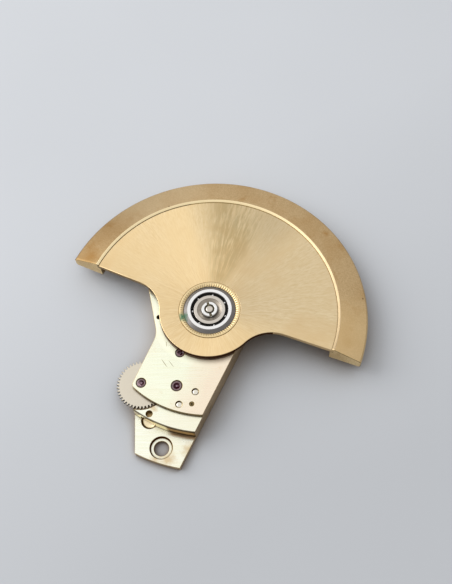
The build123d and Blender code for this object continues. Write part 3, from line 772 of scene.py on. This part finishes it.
def piece(name, bm, body, cad_node, finish):
    """Puts a finished mesh into the scene. The finish is a material, or gives one for each face."""
    mesh = to_mesh(bm, name)
    one = isinstance(finish, bpy.types.Material)
    finishes = [finish if one else finish(face.center, face.normal) for face in mesh.polygons]
    numbers = {material: number for number, material in enumerate(dict.fromkeys(finishes))}
    for material in numbers:
        mesh.materials.append(material)
    mesh.polygons.foreach_set("material_index", [numbers[material] for material in finishes])
    mesh.transform(Matrix.Scale(MM, 4))
    made = bpy.data.objects.new(name, mesh)
    bpy.context.scene.collection.objects.link(made)
    made.modifiers.new("flat faces stay flat", "WEIGHTED_NORMAL").keep_sharp = True
    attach(made, body)
    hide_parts(cad_node)
    print(name, "has", len(mesh.polygons), "faces in", len(numbers), "finishes")


print("the rotor's plate lies between", [round(z, 2) for z in heights("rotor_plate")], "mm")

# %% [markdown]
# ## The half-moon plate
# A thin brass plate stamped as half a disc, with its straight ends led into a round hub. Its outer
# edge sits under the rim's lip. The outline is worked out as a draughtsman would: two lines through
# the axis, two fillets that touch the hub, and arcs.

# %% Half-moon plate
HALF_SPAN = 88.4
HUB_RADIUS, HUB_FILLET = 4.10, 3.00
PLATE_RADIUS, BUSH_RADIUS = 10.46, 2.51
plate_low, plate_high = heights("rotor_plate")

end_angle = 90 - HALF_SPAN
reach = HUB_RADIUS + HUB_FILLET
fillet_angle = end_angle - math.degrees(math.asin(HUB_FILLET / reach))
fillet_x, fillet_y = polar(reach, fillet_angle)
right_half = arc(PLATE_RADIUS, 90, end_angle, 90)
right_half += arc(HUB_FILLET, end_angle + 90, fillet_angle + 180, 40, fillet_x, fillet_y)
right_half += arc(HUB_RADIUS, fillet_angle, -90, 60)[1:]
left_half = [(-x, y) for x, y in reversed(right_half[1:-1])]
plate_bm = stamped(right_half + left_half, [circle(BUSH_RADIUS, 160)], plate_low, plate_high, 0.035)


def plate_finish(place, normal):
    """Brushed on top, painted shade on the wall over the bridge, satin elsewhere."""
    if normal.z > 0.5:
        return gilt_sunburst
    return gilt_painted_shade if steep(normal) and place.y < 0 else gilt_satin


piece("rotor_plate_sunburst", plate_bm, "rotor", "rotor_plate", plate_finish)

# %% [markdown]
# ## The rim
# The rim is one heavy turned ring, cut to half a circle. Its top slopes down to the outside, and on
# the inside a bright bevel leads down to a lip that is turned over the plate's edge. A lathe profile
# gives all of it, and its two cut ends get broken edges afterwards. At the left the lip's own edge
# takes the darker satin, as painted shade.

# %% Rim
RIM_OUTER, RIM_INNER, LIP_RADIUS, CREST_RADIUS = 12.80, 10.20, 10.31, 10.56
RIM_OUTER_TOP, RIM_ROUNDING, RIM_CHAMFER = 2.10, 0.12, 0.14
SHADED_LIP_END = -5.5
rim_low = heights("rotor_rim")[0]
lip_low, crest = plate_high + 0.015, plate_high + 0.12
rim_profile = eased(
    [
        (RIM_INNER, rim_low),
        (RIM_OUTER - RIM_CHAMFER, rim_low),
        (RIM_OUTER, rim_low + RIM_CHAMFER),
        (RIM_OUTER, RIM_OUTER_TOP - RIM_ROUNDING),
        (RIM_OUTER - RIM_ROUNDING, RIM_OUTER_TOP),
        (CREST_RADIUS, crest),
        (LIP_RADIUS, lip_low),
        (PLATE_RADIUS, lip_low),
        (PLATE_RADIUS, plate_low),
        (RIM_INNER, plate_low),
    ],
    0.04,
)
rim_bm = broken_edges(lathe(rim_profile, 180, end_angle, 2 * HALF_SPAN), 0.03, 60)


def rim_finish(place, normal):
    """Bright on the inner bevel, cut at the two ends, dark on their broken edges, satin elsewhere."""
    endwise = abs(normal.dot(Vector((-place.y, place.x, 0)).normalized()))
    if endwise > 0.2:
        return gilt_cut if endwise > 0.95 else gilt_stamped
    bevel = place.xy.length < CREST_RADIUS + 0.01 and place.z > plate_high
    # At the left the lip's edge takes the darker satin, as painted shade.
    return gilt_bevel if bevel and (normal.z > 0.5 or place.x > SHADED_LIP_END) else gilt_satin


piece("rotor_rim_turned", rim_bm, "rotor", "rotor_rim", rim_finish)

# %% [markdown]
# ## Hub bush
# The bush is pressed into the plate and riveted over the bearing's ring with a serrated punch,
# which leaves a crown of small notches. It is turned from a profile, and the notches come from
# points of the profile that move outwards and down at some of the steps round the lathe.

# %% Bush
SERRATIONS, STEPS_EACH = 72, 8
RING_RADIUS = 2.13
bush_top = plate_high + 0.03
bush_low = heights("rotor_bush")[0]
bush_profile = [
    (RING_RADIUS, bush_low),
    (2.95, bush_low),
    (2.95, plate_low),
    (BUSH_RADIUS - 0.008, plate_low),
    (BUSH_RADIUS - 0.008, bush_top - 0.03),
    (BUSH_RADIUS - 0.035, bush_top),
    (RING_RADIUS + 0.21, bush_top),
    (RING_RADIUS + 0.16, bush_top - 0.015),
    (RING_RADIUS + 0.02, bush_top - 0.07),
    (RING_RADIUS, bush_top - 0.10),
]


def notch(step):
    """How far points 6, 7 and 8, the inner crown, move outwards and down at one step round the bush."""
    depth = max(0, 1 - abs(step % STEPS_EACH - STEPS_EACH / 2) / (STEPS_EACH / 4))
    return {6: (0.04 * depth, 0), 7: (0.01 * depth, -0.03 * depth), 8: (0.02 * depth, -0.04 * depth)}


piece(
    "hub_bush_serrated", lathe(bush_profile, SERRATIONS * STEPS_EACH, wobble=notch), "rotor",
    "rotor_bush",
    lambda place, normal: gilt_satin if place.z < plate_low + 0.01 else gilt_bright,
)

# %% [markdown]
# ## Bearing rings
# The outer ring is ground and polished on its face and left grey on its chamfer. The upper inner
# race is a cone, dished towards the nut that clamps it, with a lapped edge. Both are lathe work.

# %% Outer ring
RACE_RADIUS, FLAT_RADIUS, CROWN_RADIUS = 1.50, 1.86, 1.81
ring_low, ring_high = heights("bearing_outer_ring")
ring_profile = eased(
    [
        (RACE_RADIUS, ring_low),
        (FLAT_RADIUS, ring_low),
        (FLAT_RADIUS, 2.00),
        (RING_RADIUS, 2.00),
        (RING_RADIUS, ring_high - 0.19),
        (2.04, ring_high - 0.15),
        (CROWN_RADIUS, ring_high),
        (RACE_RADIUS + 0.05, ring_high),
        (RACE_RADIUS, ring_high - 0.07),
        (RACE_RADIUS, 2.56),
        (1.745, 2.30),
        (RACE_RADIUS, 2.05),
    ],
    0.02,
)


def ring_finish(place, normal):
    """Polished on the level face, grey on the chamfer and below."""
    off_face = place.xy.length > CROWN_RADIUS - 0.005 or normal.z < 0.9
    return steel_ground if off_face else steel_polished


piece(
    "bearing_ring_polished", lathe(ring_profile, 192), "rotor", "bearing_outer_ring",
    ring_finish,
)

# %% Upper cone
CONE_RADIUS, CONE_BORE = 1.28, 0.45
cone_low, cone_high = heights("bearing_upper_cone")
cone_profile = eased(
    [
        (CONE_BORE, cone_low),
        (1.022, cone_low),
        (CONE_RADIUS, cone_low + 0.258),
        (CONE_RADIUS, cone_high),
        (1.02, cone_high),
        (0.96, cone_high - 0.035),
        (0.78, cone_high - 0.10),
        (0.66, cone_high - 0.12),
        (CONE_BORE, cone_high - 0.12),
    ],
    0.02,
)
piece(
    "bearing_cone_dished", lathe(cone_profile, 160), "bridge", "bearing_upper_cone",
    lambda place, normal: steel_lapped if normal.z > 0.9 and place.xy.length > 0.99 else steel_turned,
)

# %% [markdown]
# ## Balls and cage
# Seven balls run between the races. A crown cage holds them apart. It is drawn black and closes the
# gap between the rings, so from above only a glint of each ball shows, through a small round window.

# %% Balls and cage
BALL_COUNT, BALL_CIRCLE, BALL_RADIUS, BALL_HEIGHT = 7, 1.39, 0.24, 2.30
CAGE_INNER, CAGE_OUTER, CAGE_LOW, CAGE_HIGH, WINDOW_RADIUS = 1.315, 1.465, 1.97, 2.605, 0.13
ball_places = [polar(BALL_CIRCLE, 360 * k / BALL_COUNT) for k in range(BALL_COUNT)]


def balls(radius):
    """All seven balls as one mesh."""
    bm = bmesh.new()
    for x, y in ball_places:
        place = Matrix.Translation((x, y, BALL_HEIGHT))
        bmesh.ops.create_uvsphere(bm, u_segments=32, v_segments=20, radius=radius, matrix=place)
    return bm


piece(
    "bearing_balls_polished", balls(BALL_RADIUS), "ball_train", "bearing_balls",
    steel_polished,
)
cage_profile = eased(
    [(CAGE_INNER, CAGE_LOW), (CAGE_OUTER, CAGE_LOW), (CAGE_OUTER, CAGE_HIGH), (CAGE_INNER, CAGE_HIGH)], 0.02
)
windows = [prism(circle(WINDOW_RADIUS, 24, x, y), BALL_HEIGHT, 2.8) for x, y in ball_places]
cage_bm = cut(lathe(cage_profile, 140), [balls(BALL_RADIUS + 0.02)] + windows)
piece("ball_cage_crown", cage_bm, "ball_train", "ball_cage", black_steel_and_shade)

# %% [markdown]
# ## Nut and post
# The nut is a small threaded ring with a slot for a two-pronged key, and a recess round the post.
# Its top is polished, and the recess and the slot are painted darker, as painted shade. The post is
# one turned pin that carries the bearing, and its end shows in the middle. Both are turned, and the
# slot is milled.

# %% Nut
NUT_RADIUS, POST_END_RADIUS, NUT_SLOT_ANGLE, NUT_RECESS = 0.66, 0.29, 125.4, 0.12
nut_low, nut_high = heights("ring_nut")
nut_profile = [
    (POST_END_RADIUS, nut_low),
    (NUT_RADIUS, nut_low),
    (NUT_RADIUS, nut_high - 0.03),
    (0.62, nut_high),
    (0.42, nut_high),
    (0.41, nut_high - NUT_RECESS),
    (POST_END_RADIUS, nut_high - NUT_RECESS),
]


def bar(length, width, height, z, angle):
    """A plain bar across the axis at a height, turned about the axis."""
    bm = bmesh.new()
    turned_bar = Matrix.Rotation(math.radians(angle), 4, "Z") @ Matrix.Diagonal((length, width, height, 1))
    bmesh.ops.create_cube(bm, size=1, matrix=Matrix.Translation((0, 0, z)) @ turned_bar)
    return bm


def nut_finish(place, normal):
    """Polished, and painted darker in the recess and the slot, as painted shade."""
    return steel_recess_shade if place.z < nut_high - 0.03 and place.xy.length < 0.65 else steel_polished


nut_bm = cut(lathe(nut_profile, 96), [bar(3, 0.22, 0.30, nut_high, NUT_SLOT_ANGLE)])
piece("ring_nut_slotted", broken_edges(nut_bm, 0.012), "bridge", "ring_nut", nut_finish)

# %% Post
post_low, post_high = heights("centre_post")
post_profile = [
    (0, post_low), (0.60, post_low), (0.60, 0.92), (1.10, 0.92), (1.10, 1.15), (0.85, 1.15), (0.85, 1.90),
    (CONE_BORE, 1.90), (CONE_BORE, nut_low), (POST_END_RADIUS, nut_low), (POST_END_RADIUS, post_high - 0.04),
    (0.27, post_high - 0.015), (0.22, post_high), (0, post_high),
]
piece("centre_post_turned", lathe(post_profile, 96), "bridge", "centre_post", steel_lapped)

# %% [markdown]
# ## The bridge
# Two plates of one outline, screwed together. Both are built as a machinist would, from a blank and
# a list of cutters, because the step, the pockets and the counterbores are at different depths. The
# outline has straight sides, one wide and one small fillet, and ends cut to arcs about the axis.

# %% Bridge outline
FOOT_TOP, BASE_TOP, COVER_TOP = 0.60, 1.70, 2.03
FOOT_END, STEP_RADIUS, BASE_HEAD = 12.60, 10.00, 8.30
COVER_TAIL, COVER_HEAD = 8.70, 6.20
CIRCLE_STEPS = 256
bridge_points = [
    ((2.71, -12.60), 0), ((3.79, 8.30), 0), ((-9.10, 8.30), 0), ((-9.10, 5.13), 0),
    ((-3.25, -3.35), 2.00), ((-3.25, -7.85), 0.15), ((-0.97, -12.60), 0),
]


def filleted(points_and_radii, steps=16):
    """An outline whose corners are true arcs of their own radius."""
    corners = [Vector(point) for point, _ in points_and_radii]
    made = []
    for place, (corner, radius) in enumerate(points_and_radii):
        corner = Vector(corner)
        if not radius:
            made.append(tuple(corner))
            continue
        back = (corners[place - 1] - corner).normalized()
        ahead = (corners[(place + 1) % len(corners)] - corner).normalized()
        half = back.angle(ahead) / 2
        centre = corner + (back + ahead).normalized() * (radius / math.sin(half))
        first = corner + back * (radius / math.tan(half)) - centre
        last = corner + ahead * (radius / math.tan(half)) - centre
        sweep = first.angle_signed(last)
        for step in range(steps + 1):
            made.append(tuple(centre + Matrix.Rotation(-sweep * step / steps, 2) @ first))
    return made


bridge_outline = filleted(bridge_points)
print("the bridge's outline has", len(bridge_outline), "points")

# %% Bridge blank
def disc(radius, low, high, x=0, y=0, steps=128):
    """A cylinder between two heights."""
    return prism(circle(radius, steps, x, y), low, high)


def bridge_blank(low, high, tail, head):
    """The outline as a solid, cut to an arc at its tail and at its head."""
    tail_disc = disc(tail, low - 1, high + 1, steps=CIRCLE_STEPS)
    body = cut(prism(bridge_outline, low, high), [tail_disc], "INTERSECT")
    front = prism([(-20, 0), (20, 0), (20, 20), (-20, 20)], low - 1, high + 1)
    return cut(body, [cut(front, [disc(head, low - 2, high + 2, steps=CIRCLE_STEPS)])])


arc_step = math.tau * FOOT_END / CIRCLE_STEPS
print("at the foot's end an arc has a point every", round(arc_step, 2), "mm")

# %% [markdown]
# ## Places on the bridge
# A maker drills both plates from one drawing, so that their holes line up. So each place is written
# once, in millimetres from the rotor's axis, and plates, jewels, screws and pins take it from here.
# A jewel's place has its radius beside it, and a fixing hole's place the level of its mouth.

# %% Places on the bridge
jewel_places = [((-0.82, -4.12), 0.38), ((0.09, -6.76), 0.45), ((-2.62, -7.59), 0.40)]
reverser_place, intermediate_place, winding_place = [place for place, _ in jewel_places]
screw_places = [(1.65, -6.66), (0.89, -8.08), (1.60, 4.90)]
pin_places = [(1.80, -7.68), (-3.74, -1.91)]
fixing_places = [((0.73, -11.40), FOOT_TOP), ((-2.70, 6.68), BASE_TOP)]
print("holes in the upper bridge:", len(jewel_places) + len(screw_places) + len(pin_places))

# %% [markdown]
# ## The lower plate
# A thick plate, milled from below the cover: pockets for the wheels, a turned step down to the foot,
# two counterbored holes for its fixing screws, a shallow blind hole, and a tilted spot face that
# was cut with a small end mill where the step meets the foot.

# %% Lower plate
ABOVE, BELOW = 3, -1
BORE_RADIUS, COUNTERBORE_RADIUS, COUNTERBORE_MOUTH, COUNTERBORE_DEPTH = 0.60, 0.82, 0.90, 0.25
BLIND_PLACE, BLIND_RADIUS, BLIND_FLOOR = (-1.02, -9.56), 0.27, 1.10
SPOT_PLACE, SPOT_RADIUS, SPOT_HEIGHT, SPOT_TILT = (-1.03, -9.72), 0.68, 0.46, 12
SCREW_RECESS_RADIUS, SCREW_HEAD_TOP, BASE_EASE = 0.53, 0.27, 0.02
pockets = [
    (2.545, 0.92, (0, 0)), (2.078, 0.45, reverser_place), (1.112, 0.45, intermediate_place),
    (2.115, 1.36, winding_place), (0.75, 0.45, winding_place), (0.60, 0.20, (0, 0)),
]
tools = [disc(radius, floor, ABOVE, *spot) for radius, floor, spot in pockets]
tools += [disc(radius, 0.18, ABOVE, *spot, 64) for spot, radius in jewel_places]
tools += [disc(0.14, BELOW, ABOVE, *spot, 32) for spot, _ in jewel_places]
tools += [disc(0.31, BELOW, ABOVE, *spot, 64) for spot in screw_places]
tools += [disc(SCREW_RECESS_RADIUS, BELOW, SCREW_HEAD_TOP, *spot, 96) for spot in screw_places]
tools += [disc(0.18, 0.30, ABOVE, *spot, 48) for spot in pin_places]
tools += [disc(BLIND_RADIUS, BLIND_FLOOR, ABOVE, *BLIND_PLACE, 64)]
for spot, top in fixing_places:
    bore_profile = [(0, top - COUNTERBORE_DEPTH), (COUNTERBORE_RADIUS, top - COUNTERBORE_DEPTH)]
    bore_profile += [(COUNTERBORE_MOUTH, top), (COUNTERBORE_MOUTH, ABOVE), (0, ABOVE)]
    bore = lathe(bore_profile, 144)
    bmesh.ops.translate(bore, verts=bore.verts, vec=(*spot, 0))
    tools += [disc(BORE_RADIUS, BELOW, ABOVE, *spot, 128), bore]
step_cut = cut(
    disc(15, FOOT_TOP, ABOVE, steps=CIRCLE_STEPS), [disc(STEP_RADIUS, 0, 4, steps=CIRCLE_STEPS)]
)
spot_cut = lathe([(0, 0), (0.56, 0), (SPOT_RADIUS, 0.16), (SPOT_RADIUS, 0.50), (0, 0.50)], 96)
tilt = Matrix.Rotation(math.radians(SPOT_TILT), 4, "X")
spot_cut.transform(Matrix.Translation((*SPOT_PLACE, SPOT_HEIGHT)) @ tilt)
base_bm = cut(bridge_blank(0, BASE_TOP, FOOT_END, BASE_HEAD), [step_cut, spot_cut] + tools)


def base_finish(place, normal):
    """Brushed on the open faces, painted light and shade in the step and the holes, milled on the flanks and
    in the pockets.
    """
    upright, from_step = steep(normal), abs(place.xy.length - STEP_RADIUS)
    if upright and from_step < 0.03 and place.z > FOOT_TOP:
        return gilt_step_wall
    if math.dist(SPOT_PLACE, place.xy) < SPOT_RADIUS and 0.25 < place.z < FOOT_TOP - 0.02:
        return gilt_spot if normal.z > 0.95 else gilt_edge
    # The blind hole's floor is painted bright as a painted highlight, and its wall dark.
    if math.dist(BLIND_PLACE, place.xy) < BLIND_RADIUS + 0.01 and place.z < BASE_TOP - 0.03:
        return gilt_cut if normal.z > 0.5 else gilt_stamped
    # The counterbores' walls are painted dark, as painted shade.
    for spot, top in fixing_places:
        on_wall = COUNTERBORE_RADIUS - 0.02 < math.dist(spot, place.xy) < COUNTERBORE_MOUTH
        if upright and on_wall and place.z < top - 0.01:
            return gilt_painted_shade
    if 0.3 < normal.z < 0.95:
        return gilt_stamped if from_step < 0.05 else gilt_edge
    open_heights = (0, FOOT_TOP - COUNTERBORE_DEPTH, FOOT_TOP, BASE_TOP)
    open_face = min(abs(place.z - height) for height in open_heights) < BASE_EASE + 0.002
    return gilt_brushed if open_face and not upright else gilt_milled


base_bm = broken_edges(base_bm, BASE_EASE)
piece("base_plate_milled", base_bm, "bridge", "base_plate", base_finish)

# %% [markdown]
# ## The upper plate
# A thin flat plate of the same outline, cut away in an arc about the rotor's gear. Its holes let
# the jewels, the screw ends and the pins through. Light reaches only one side of such a small hole,
# so the walls on the shaded side, and the pin holes' walls all round, are painted dark as painted shade.

# %% Upper plate
WINDOW_IN_COVER, SCREW_HOLE_RADIUS, PIN_HOLE_RADIUS = 2.565, 0.27, 0.18
SHADE_ANGLE = -24
tools = [disc(WINDOW_IN_COVER, 1, ABOVE, steps=160)]
tools += [disc(radius, 1, ABOVE, *spot, 96) for spot, radius in jewel_places]
tools += [disc(SCREW_HOLE_RADIUS, 1, ABOVE, *spot, 64) for spot in screw_places]
tools += [disc(PIN_HOLE_RADIUS, 1, ABOVE, *spot, 48) for spot in pin_places]
cover_bm = cut(bridge_blank(BASE_TOP, COVER_TOP, COVER_TAIL, COVER_HEAD), tools)


def cover_finish(place, normal):
    """Brushed on top, dark on the stamped flanks, painted shade on the shaded side of the small holes."""
    at_tail = place.xy.length > COVER_TAIL - 0.05
    if not steep(normal):
        return gilt_cover if normal.z > 0.95 else gilt_stamped if at_tail else gilt_edge
    if any(math.dist(spot, place.xy) < PIN_HOLE_RADIUS + 0.07 for spot in pin_places):
        return gilt_painted_shade
    for spot, both_sides in zip(screw_places, (True, False, True)):
        if math.dist(spot, place.xy) < SCREW_HOLE_RADIUS + 0.03:
            shade = normal.xy.dot(Vector(polar(1, SHADE_ANGLE)))
            return gilt_painted_shade if shade > 0.4 or (both_sides and shade < -0.6) else gilt_cover
    return gilt_stamped if at_tail or normal.x < -0.5 else gilt_milled


piece(
    "upper_bridge_stamped", broken_edges(cover_bm, 0.03), "bridge", "upper_bridge",
    cover_finish,
)

# %% [markdown]
# ## Jewels
# Each hole jewel is a small ruby ring with a polished hollow, the oil sink, that leads the oil to
# the pivot. It is turned from a profile: a rounded rim, a lapped flat and a hollow that is a smooth
# curve.

# %% Jewels
JEWEL_HOLE, JEWEL_SINK_SHARE, SINK_STEPS, LIT_ANGLE = 0.10, 0.58, 8, 66


def jewel(radius, low, high, top_side):
    """A hole jewel with its hollow on one side."""
    sink = radius * JEWEL_SINK_SHARE
    face, far, inward = (high, low, -1) if top_side else (low, high, 1)
    profile = [(JEWEL_HOLE, far), (radius, far)]
    for back, depth in ((0, 0.08), (0.02, 0.03), (0.05, 0.006), (0.075, 0)):
        profile.append((radius - back, face + inward * depth))
    profile.append((sink + 0.02, face))
    for step in range(SINK_STEPS + 1):
        t = step / SINK_STEPS
        depth = 0.01 + 0.10 * math.sin(t * math.pi / 2)
        profile.append((sink - (sink - JEWEL_HOLE) * t, face + inward * depth))
    return lathe(profile, 64)


def together(parts):
    """Several meshes as one, each moved to its own place."""
    whole = bmesh.new()
    for bm, (x, y) in parts:
        bmesh.ops.translate(bm, verts=bm.verts, vec=(x, y, 0))
        moved = bpy.data.meshes.new("moved")
        bm.to_mesh(moved)
        whole.from_mesh(moved)
        bm.free()
        bpy.data.meshes.remove(moved)
    return whole


def jewel_finish(place, normal):
    """Painted shade at the rim, lapped on the flat, polished in the hollow, with a painted highlight
    crescent.
    """
    centre, radius = min(jewel_places, key=lambda stone: math.dist(stone[0], place.xy))
    out = place.xy - Vector(centre)
    if out.length > radius - 0.085:
        return ruby_shaded_rim
    if out.length > radius * JEWEL_SINK_SHARE:
        return ruby_lapped
    away_from_light = out.normalized().dot(Vector(polar(1, LIT_ANGLE))) < -0.72
    painted_crescent = out.length > radius * 0.36 and away_from_light and radius < 0.42
    return ruby_painted_crescent if painted_crescent and normal.z > 0.5 else ruby_polished


for name, top_side in (("upper_jewels", True), ("lower_jewels", False)):
    stones = [(jewel(radius, *heights(name), top_side), place) for place, radius in jewel_places]
    piece(name + "_ruby", together(stones), "bridge", name, jewel_finish)

# %% [markdown]
# ## Screws and steady pins
# The screws come up from below, so their rounded thread ends show in the cover, just under its
# surface. Steady pins line the two plates up. One ends flush, with the dimple of its lathe centre,
# and the other one stops short. The dimple and the short pin are painted black, as painted shade.

# %% Screws
SCREW_HEAD_RADIUS, THREAD_RADIUS = 0.50, 0.262
screw_low, screw_high = heights("bridge_screws")
screw_profile = eased(
    [
        (0, screw_low), (SCREW_HEAD_RADIUS, screw_low), (SCREW_HEAD_RADIUS, SCREW_HEAD_TOP),
        (THREAD_RADIUS, SCREW_HEAD_TOP), (THREAD_RADIUS, screw_high - 0.06), (0.20, screw_high - 0.015),
        (0.12, screw_high), (0, screw_high),
    ],
    0.02,
)
# Easing also rounds the two corners on the axis. They are put back, for the lathe needs them there.
screw_profile = [(0, screw_low)] + screw_profile[3:-3] + [(0, screw_high)]
screws = []
for number, spot in enumerate(screw_places):
    slot = bar(3, 0.14, 0.20, screw_low, 25 + 50 * number)
    screws.append((cut(lathe(screw_profile, 64), [slot]), spot))
piece("bridge_screws_rounded", together(screws), "bridge", "bridge_screws", steel_end)

# %% Steady pins
PIN_RADIUS, PIN_FACE_RADIUS, DIMPLE_RADIUS, DIMPLE_DEPTH = 0.175, 0.15, 0.08, 0.06
pin_low = heights("steady_pins")[0]
pins = []
for spot, top in zip(pin_places, (2.01, 1.87)):
    profile = [
        (0, pin_low), (PIN_FACE_RADIUS, pin_low), (PIN_RADIUS, pin_low + 0.03), (PIN_RADIUS, top - 0.03),
        (PIN_FACE_RADIUS, top), (DIMPLE_RADIUS, top), (0, top - DIMPLE_DEPTH),
    ]
    pins.append((lathe(profile, 48), spot))


def pin_finish(place, normal):
    """Painted black as shade in the dimple and on the short pin down in its hole, brass-coloured elsewhere.
    """
    in_dimple = math.dist(pin_places[0], place.xy) < DIMPLE_RADIUS - 0.005
    return black_steel_and_shade if place.x < 0 or in_dimple else gilt_stamped


piece("steady_pins_dimpled", together(pins), "bridge", "steady_pins", pin_finish)

# %% [markdown]
# ## The winding wheel
# The one wheel that looks out from under the bridge. Its teeth are involutes, cut with the same
# proportions as in the CAD source, and the wheel is stamped flat with eased edges.

# %% Winding wheel
TEETH, MATE_TEETH, PRESSURE_ANGLE, TOOTH_SHARE, WHEEL_PHASE = 44, 21, 20, 0.90, -43.417
ARBOR_HOLE_RADIUS = 0.205
wheel_low, wheel_high = heights("winding_wheel")
module = 2 * math.dist(intermediate_place, winding_place) / (MATE_TEETH + TEETH)
print("the wheel's teeth are", round(module * math.pi, 3), "mm apart")


def tooth_outline(teeth, module, phase):
    """The outline of a wheel with involute teeth."""
    pitch = module * teeth / 2
    base, root, tip = pitch * math.cos(math.radians(PRESSURE_ANGLE)), pitch - 1.25 * module, pitch + module

    def involute(radius):
        """How far the involute has turned when it reaches a radius, in degrees."""
        angle = math.acos(min(base / radius, 1))
        return math.degrees(math.tan(angle) - angle)

    half = 90 / teeth * TOOTH_SHARE + involute(pitch)
    foot = max(base, root)
    flank = [(r, half - involute(r)) for r in (foot, (foot + pitch) / 2, pitch, (pitch + tip) / 2, tip)]
    if root < base:
        flank.insert(0, (root, flank[0][1]))
    made = []
    for tooth in range(teeth):
        middle = phase + 360 * tooth / teeth
        made += [polar(r, middle - turn) for r, turn in flank]
        made += [polar(r, middle + turn) for r, turn in reversed(flank)]
    return made


wheel_outline = tooth_outline(TEETH, module, WHEEL_PHASE)
wheel_bm = stamped(wheel_outline, [circle(ARBOR_HOLE_RADIUS, 48)], wheel_low, wheel_high, 0.012)
piece(
    "winding_wheel_toothed", together([(wheel_bm, winding_place)]), "winding", "winding_wheel",
    lambda place, normal: steel_flank if normal.z < 0.97 else steel_grained,
)

# %% [markdown]
# ## Nodes that keep their own mesh
# Eleven nodes lie under the rotor or between the plates, where hardly anything of them can be seen.
# Their CAD mesh is good enough, so they only get the finish that such a part has.

# %% Finishes of the nodes that keep their mesh
own_mesh_finishes = {
    "bearing_lower_cone": steel_turned, "rotor_gear": gilt_stamped,
    "reverser_arbor": steel_pivot, "reverser_input_wheel": steel_grained, "reverser_pawls": steel_turned,
    "reverser_ratchet": steel_turned, "reverser_output_wheel": steel_grained,
    "intermediate_arbor": steel_pivot, "intermediate_lower_pinion": steel_grained,
    "intermediate_upper_pinion": steel_grained, "winding_pinion": steel_pivot,
}
for name, material in own_mesh_finishes.items():
    nodes[name].material_slots[0].material = material
print(len(own_mesh_finishes), "nodes keep their mesh")

# %% [markdown]
# ## Floor
# The part lies on grey card. Card is matt. Its soft shadow on the side away from the window is
# deepened and warmed with painted shadow from two ambient occlusion nodes, a near and a wide one,
# for gilt brass throws brown light into its own shadow. The card is also painted darker away from the
# window.

# %% Floor
def card(name, colour):
    """Matt card with painted shadow: darker and warmer where the part stands close, most of all at the
    right.
    """
    material, place = started(name)
    cloud = node(material, "TexNoise", {"Vector": place, "Scale": per_mm(30), "Detail": 2, "Roughness": 0.5})
    shade = [channel * 0.97 for channel in linear(colour)[:3]] + [1.0]
    tone = tinted(material, colour, shade, cloud, (0.3, 0.7, 0, 1))
    away = node(material, "VectorMath", [place, (0.75, -0.65, 0)], "Value", operation="DOT_PRODUCT")
    # Painted light: the card is darker away from the window.
    tone = tinted(material, tone, "#eeeeee", away, (-14 * MM, 16 * MM, 0, 1), "MULTIPLY")
    # Painted shadow near the part, strongest on the side away from the window.
    for reach, opens, side, dusk in (
        (3, (0.15, 0.80), (-6 * MM, 4 * MM, 0.5, 1), "#a18970"),
        (9, (0.30, 0.85), (-1 * MM, 6 * MM, 0, 1), "#d9d3cd"),
    ):
        openness = node(material, "AmbientOcclusion", {"Distance": reach * MM}, "AO", samples=16)
        most = node(material, "MapRange", [away, *side])
        tone = tinted(material, tone, dusk, openness, (*opens, most, 0), "MULTIPLY")
    return finished(material, {"Base Color": tone, "Roughness": 0.9, "Specular IOR Level": 0.1})


FLOOR_GAP = 0.005
floor_mesh = bpy.data.meshes.new("floor")
floor_mesh.from_pydata([(-0.4, -0.4, 0), (0.4, -0.4, 0), (0.4, 0.4, 0), (-0.4, 0.4, 0)], [], [(0, 1, 2, 3)])
floor_mesh.materials.append(card("grey_card", "#d0d3d7"))
floor = bpy.data.objects.new("floor", floor_mesh)
bpy.context.scene.collection.objects.link(floor)
floor.location.z = -FLOOR_GAP * MM

# %% [markdown]
# ## Light
# A watchmaker's bench by a window: a bright, soft sky overhead that fades towards the horizon, and
# one large lamp high on the left that throws the soft shadow to the lower right.

# %% World and lamp
world = bpy.data.worlds.new("bench_sky")
bpy.context.scene.world = world
world.use_nodes = True
world.node_tree.nodes.clear()
overhead = Vector((-0.30, 0.36, 0.88)).normalized()
toward = node(world, "TexCoord", output="Generated")
nearness = node(world, "VectorMath", [toward, overhead], "Value", operation="DOT_PRODUCT")
glow = node(world, "MapRange", [nearness, 0.05, 0.88, 0.36, 0.95], interpolation_type="SMOOTHSTEP")
node(world, "OutputWorld", {"Surface": node(world, "Background", {"Color": "#fcfcfd", "Strength": glow})})

LAMP_DISTANCE = 0.25
lamp_data = bpy.data.lights.new("window", "AREA")
lamp_data.energy = 0.36
lamp_data.shape = "DISK"
lamp_data.size = 0.23
lamp = bpy.data.objects.new("window", lamp_data)
lamp.location = Vector((-0.80, -0.05, 0.60)).normalized() * LAMP_DISTANCE
lamp.rotation_mode = "QUATERNION"
lamp.rotation_quaternion = (camera_target - lamp.location).to_track_quat("-Z", "Y")
bpy.context.scene.collection.objects.link(lamp)
bpy.context.scene.view_settings.view_transform = "Standard"
print("the lamp is", round(math.degrees(math.asin(lamp.location.z / LAMP_DISTANCE))), "degrees high")
